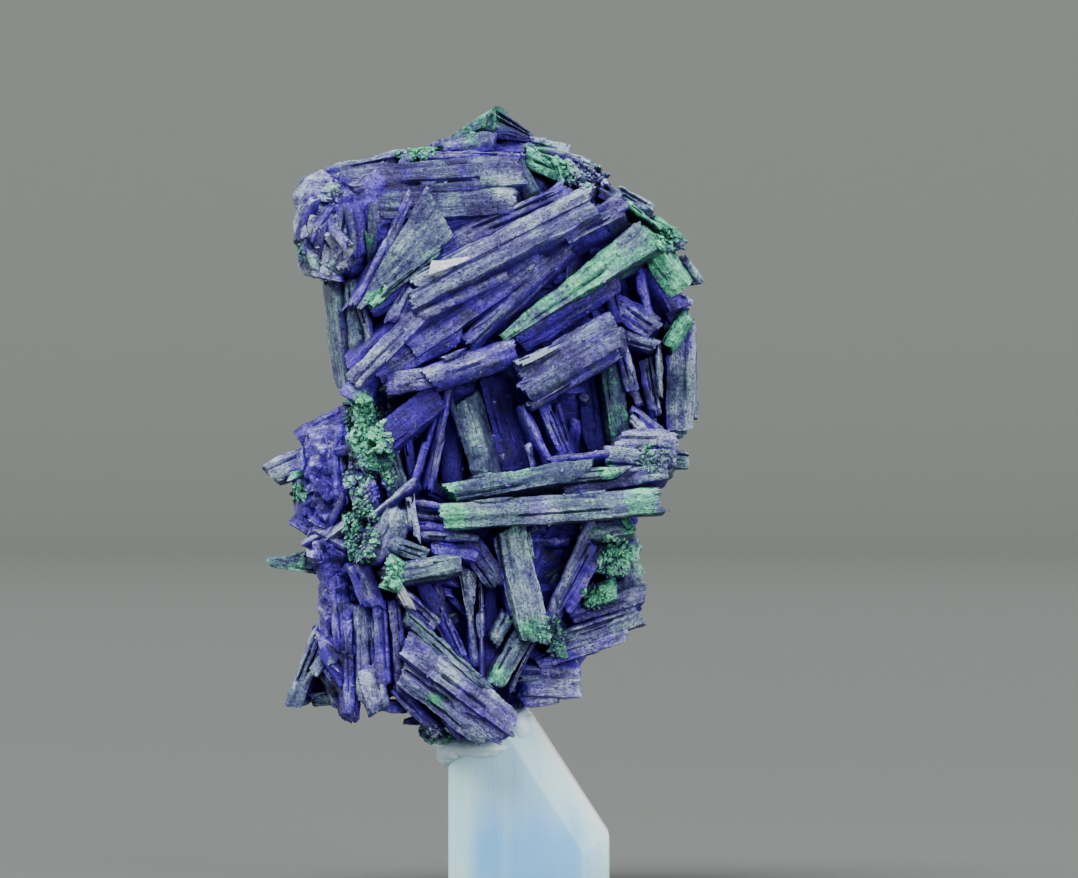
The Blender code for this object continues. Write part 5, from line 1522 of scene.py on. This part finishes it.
class SPECIMEN_OT_post(bpy.types.Operator):
    """Model the post"""

    bl_idname = "specimen.post"
    bl_label = "Model the post"

    def execute(self, context):
        settings = context.scene.specimen_post
        side, tall = POST_SIDE * MM, POST_TIP[1] * MM
        made = start_cube("bar_post", (2 * side, 2 * side, tall))
        bpy.ops.transform.translate(value=(0.0, 0.0, tall / 2))
        tip = Vector((POST_TIP[0], 0.0, POST_TIP[1])) * MM
        shoulder = Vector((POST_SIDE, 0.0, POST_SHOULDER_Z)) * MM
        slope = shoulder - tip
        cut(tip, (-slope.z, 0.0, slope.x), clear=True)
        left_top = Vector((-POST_SIDE, 0.0, POST_LEFT_TOP_Z)) * MM
        rise = tip - left_top
        cut(left_top, (-rise.z, 0.0, rise.x), clear=True)
        for hand in (-1, 1):
            inner = Vector((0.0, hand * (POST_SIDE - POST_CHAMFER), 0.0)) * MM
            outer = Vector((POST_CREASE[0], hand * POST_SIDE, POST_CREASE[1])) * MM
            normal = slope.cross(outer - (tip + inner))
            if normal.x < 0:
                normal = -normal
            cut(tip + inner, normal, clear=True)
            cut(Vector((side, inner.y, 0.0)), (1.0, hand, 0.0), clear=True)
        bpy.ops.mesh.select_all(action="SELECT")
        bpy.ops.mesh.normals_make_consistent(inside=False)
        bpy.ops.object.mode_set(mode="OBJECT")
        ease = made.modifiers.new("worn_edges", "BEVEL")
        ease.width = settings.edge
        ease.segments = 3
        ease.limit_method = "ANGLE"
        bpy.ops.object.modifier_apply(modifier=ease.name)
        sawn = made.data.attributes.new("sawn", "FLOAT", "FACE")
        sawn.data.foreach_set("value", [float(face.normal.x > 0.2 and face.normal.z > 0.1)
                                        for face in made.data.polygons])
        finish_piece(made, plastic_finish(settings), "plastic_post")
        return {"FINISHED"}


class SPECIMEN_OT_stage(bpy.types.Operator):
    """Set up the floor, the lights and the camera"""

    bl_idname = "specimen.stage"
    bl_label = "Set up the stage"

    def execute(self, context):
        settings = context.scene.specimen_stage
        self.lay_floor(context, settings)
        self.light(settings)
        self.aim_camera(context, settings)
        return {"FINISHED"}

    def lay_floor(self, context, settings):
        """A floor that turns up into a round wall, so that no edge shows behind the specimen."""
        deselect_all()
        flat = settings.radius * FLOOR_FLAT
        bpy.ops.mesh.primitive_circle_add(vertices=96, radius=flat, fill_type="NGON")
        floor = context.object
        floor.name = "plain_floor"
        bpy.ops.object.mode_set(mode="EDIT")
        bpy.ops.mesh.select_all(action="SELECT")
        bpy.ops.mesh.inset(thickness=settings.radius * FLOOR_INSET)
        pick_rim(floor)
        turn = settings.radius * FLOOR_TURN
        for k in range(TURN_STEPS):
            before, after = (math.radians(90.0 * step / TURN_STEPS) for step in (k, k + 1))
            grown = (flat + turn * math.sin(after)) / (flat + turn * math.sin(before))
            lift = turn * (math.cos(before) - math.cos(after))
            bpy.ops.mesh.extrude_region_move(TRANSFORM_OT_translate={"value": (0.0, 0.0, lift)})
            bpy.ops.transform.resize(value=(grown, grown, 1.0))
        bpy.ops.mesh.extrude_region_move(TRANSFORM_OT_translate={"value": (0.0, 0.0, settings.radius)})
        bpy.ops.mesh.select_all(action="SELECT")
        bpy.ops.mesh.normals_make_consistent(inside=True)
        bpy.ops.object.mode_set(mode="OBJECT")
        for polygon in floor.data.polygons:
            polygon.use_smooth = True
        floor.data.materials.append(stage_finish(settings))

    def light(self, settings):
        """A large key light from above, a fill from the front, and a soft rim from each side."""
        aim = Vector((0.0, 0.0, 0.018))
        lights = (
            ("key", (-0.25, -0.45, 0.85), 0.6, settings.key_power),
            ("fill", (0.45, -0.85, 0.25), 0.6, settings.fill_power),
            ("rim_left", (-0.9, 0.25, 0.3), 0.4, settings.rim_power),
            ("rim_right", (0.9, 0.3, 0.35), 0.4, settings.rim_power),
        )
        for name, place, size, power in lights:
            data = bpy.data.lights.new(name, "AREA")
            data.size = size
            data.energy = power
            made = bpy.data.objects.new(name, data)
            made.location = place
            made.rotation_euler = (aim - Vector(place)).to_track_quat("-Z", "Y").to_euler()
            bpy.context.scene.collection.objects.link(made)
        world = bpy.data.worlds.new("soft_room")
        world.use_nodes = True
        background = world.node_tree.nodes["Background"]
        background.inputs["Color"].default_value = ROOM_COLOUR
        background.inputs["Strength"].default_value = ROOM_STRENGTH
        bpy.context.scene.world = world

    def aim_camera(self, context, settings):
        """The camera, level and straight in front."""
        data = bpy.data.cameras.new("front_camera")
        data.lens = settings.lens
        data.sensor_width = 36.0
        data.clip_start = 0.01
        camera = bpy.data.objects.new("front_camera", data)
        camera.location = (settings.aim_x, -settings.distance, settings.aim_z)
        camera.rotation_euler = (math.radians(90.0), 0.0, 0.0)
        context.scene.collection.objects.link(camera)
        context.scene.camera = camera


class SPECIMEN_PT_panel(bpy.types.Panel):
    """The specimen's operators and settings"""

    bl_label = "Azurite specimen"
    bl_space_type = "VIEW_3D"
    bl_region_type = "UI"
    bl_category = "Specimen"

    def draw(self, context):
        for operator in OPERATORS:
            self.layout.operator(operator.bl_idname)
        for settings in ("specimen_stone", "specimen_post", "specimen_stage"):
            group = getattr(context.scene, settings)
            box = self.layout.box()
            for key in group.bl_rna.properties.keys():
                if key not in ("rna_type", "name"):
                    box.prop(group, key)


OPERATORS = (
    SPECIMEN_OT_masters, SPECIMEN_OT_mass, SPECIMEN_OT_crystals, SPECIMEN_OT_blocks, SPECIMEN_OT_sheaves,
    SPECIMEN_OT_druse, SPECIMEN_OT_crust, SPECIMEN_OT_dust_and_painted_shade, SPECIMEN_OT_putty, SPECIMEN_OT_post,
    SPECIMEN_OT_stage,
)
CLASSES = (StoneSettings, PostSettings, StageSettings, *OPERATORS, SPECIMEN_PT_panel)


def register():
    """Make the settings, the operators and the panel known."""
    for item in CLASSES:
        bpy.utils.register_class(item)
    bpy.types.Scene.specimen_stone = PointerProperty(type=StoneSettings)
    bpy.types.Scene.specimen_post = PointerProperty(type=PostSettings)
    bpy.types.Scene.specimen_stage = PointerProperty(type=StageSettings)


def unregister():
    """Take them away again."""
    del bpy.types.Scene.specimen_stage
    del bpy.types.Scene.specimen_post
    del bpy.types.Scene.specimen_stone
    for item in reversed(CLASSES):
        bpy.utils.unregister_class(item)


def main():
    """Build the whole scene."""
    register()
    bpy.ops.specimen.masters()
    bpy.ops.specimen.mass()
    for group in GROUPS:
        bpy.ops.specimen.crystals(group=group)
    bpy.ops.specimen.blocks()
    bpy.ops.specimen.sheaves()
    bpy.ops.specimen.druse()
    bpy.ops.specimen.crust()
    bpy.ops.specimen.weathering()
    bpy.ops.specimen.putty()
    bpy.ops.specimen.post()
    for master in [item for item in bpy.data.objects if item.name.startswith("master_")]:
        bpy.data.objects.remove(master)
    bpy.ops.specimen.stage()


if __name__ == "__main__":
    main()
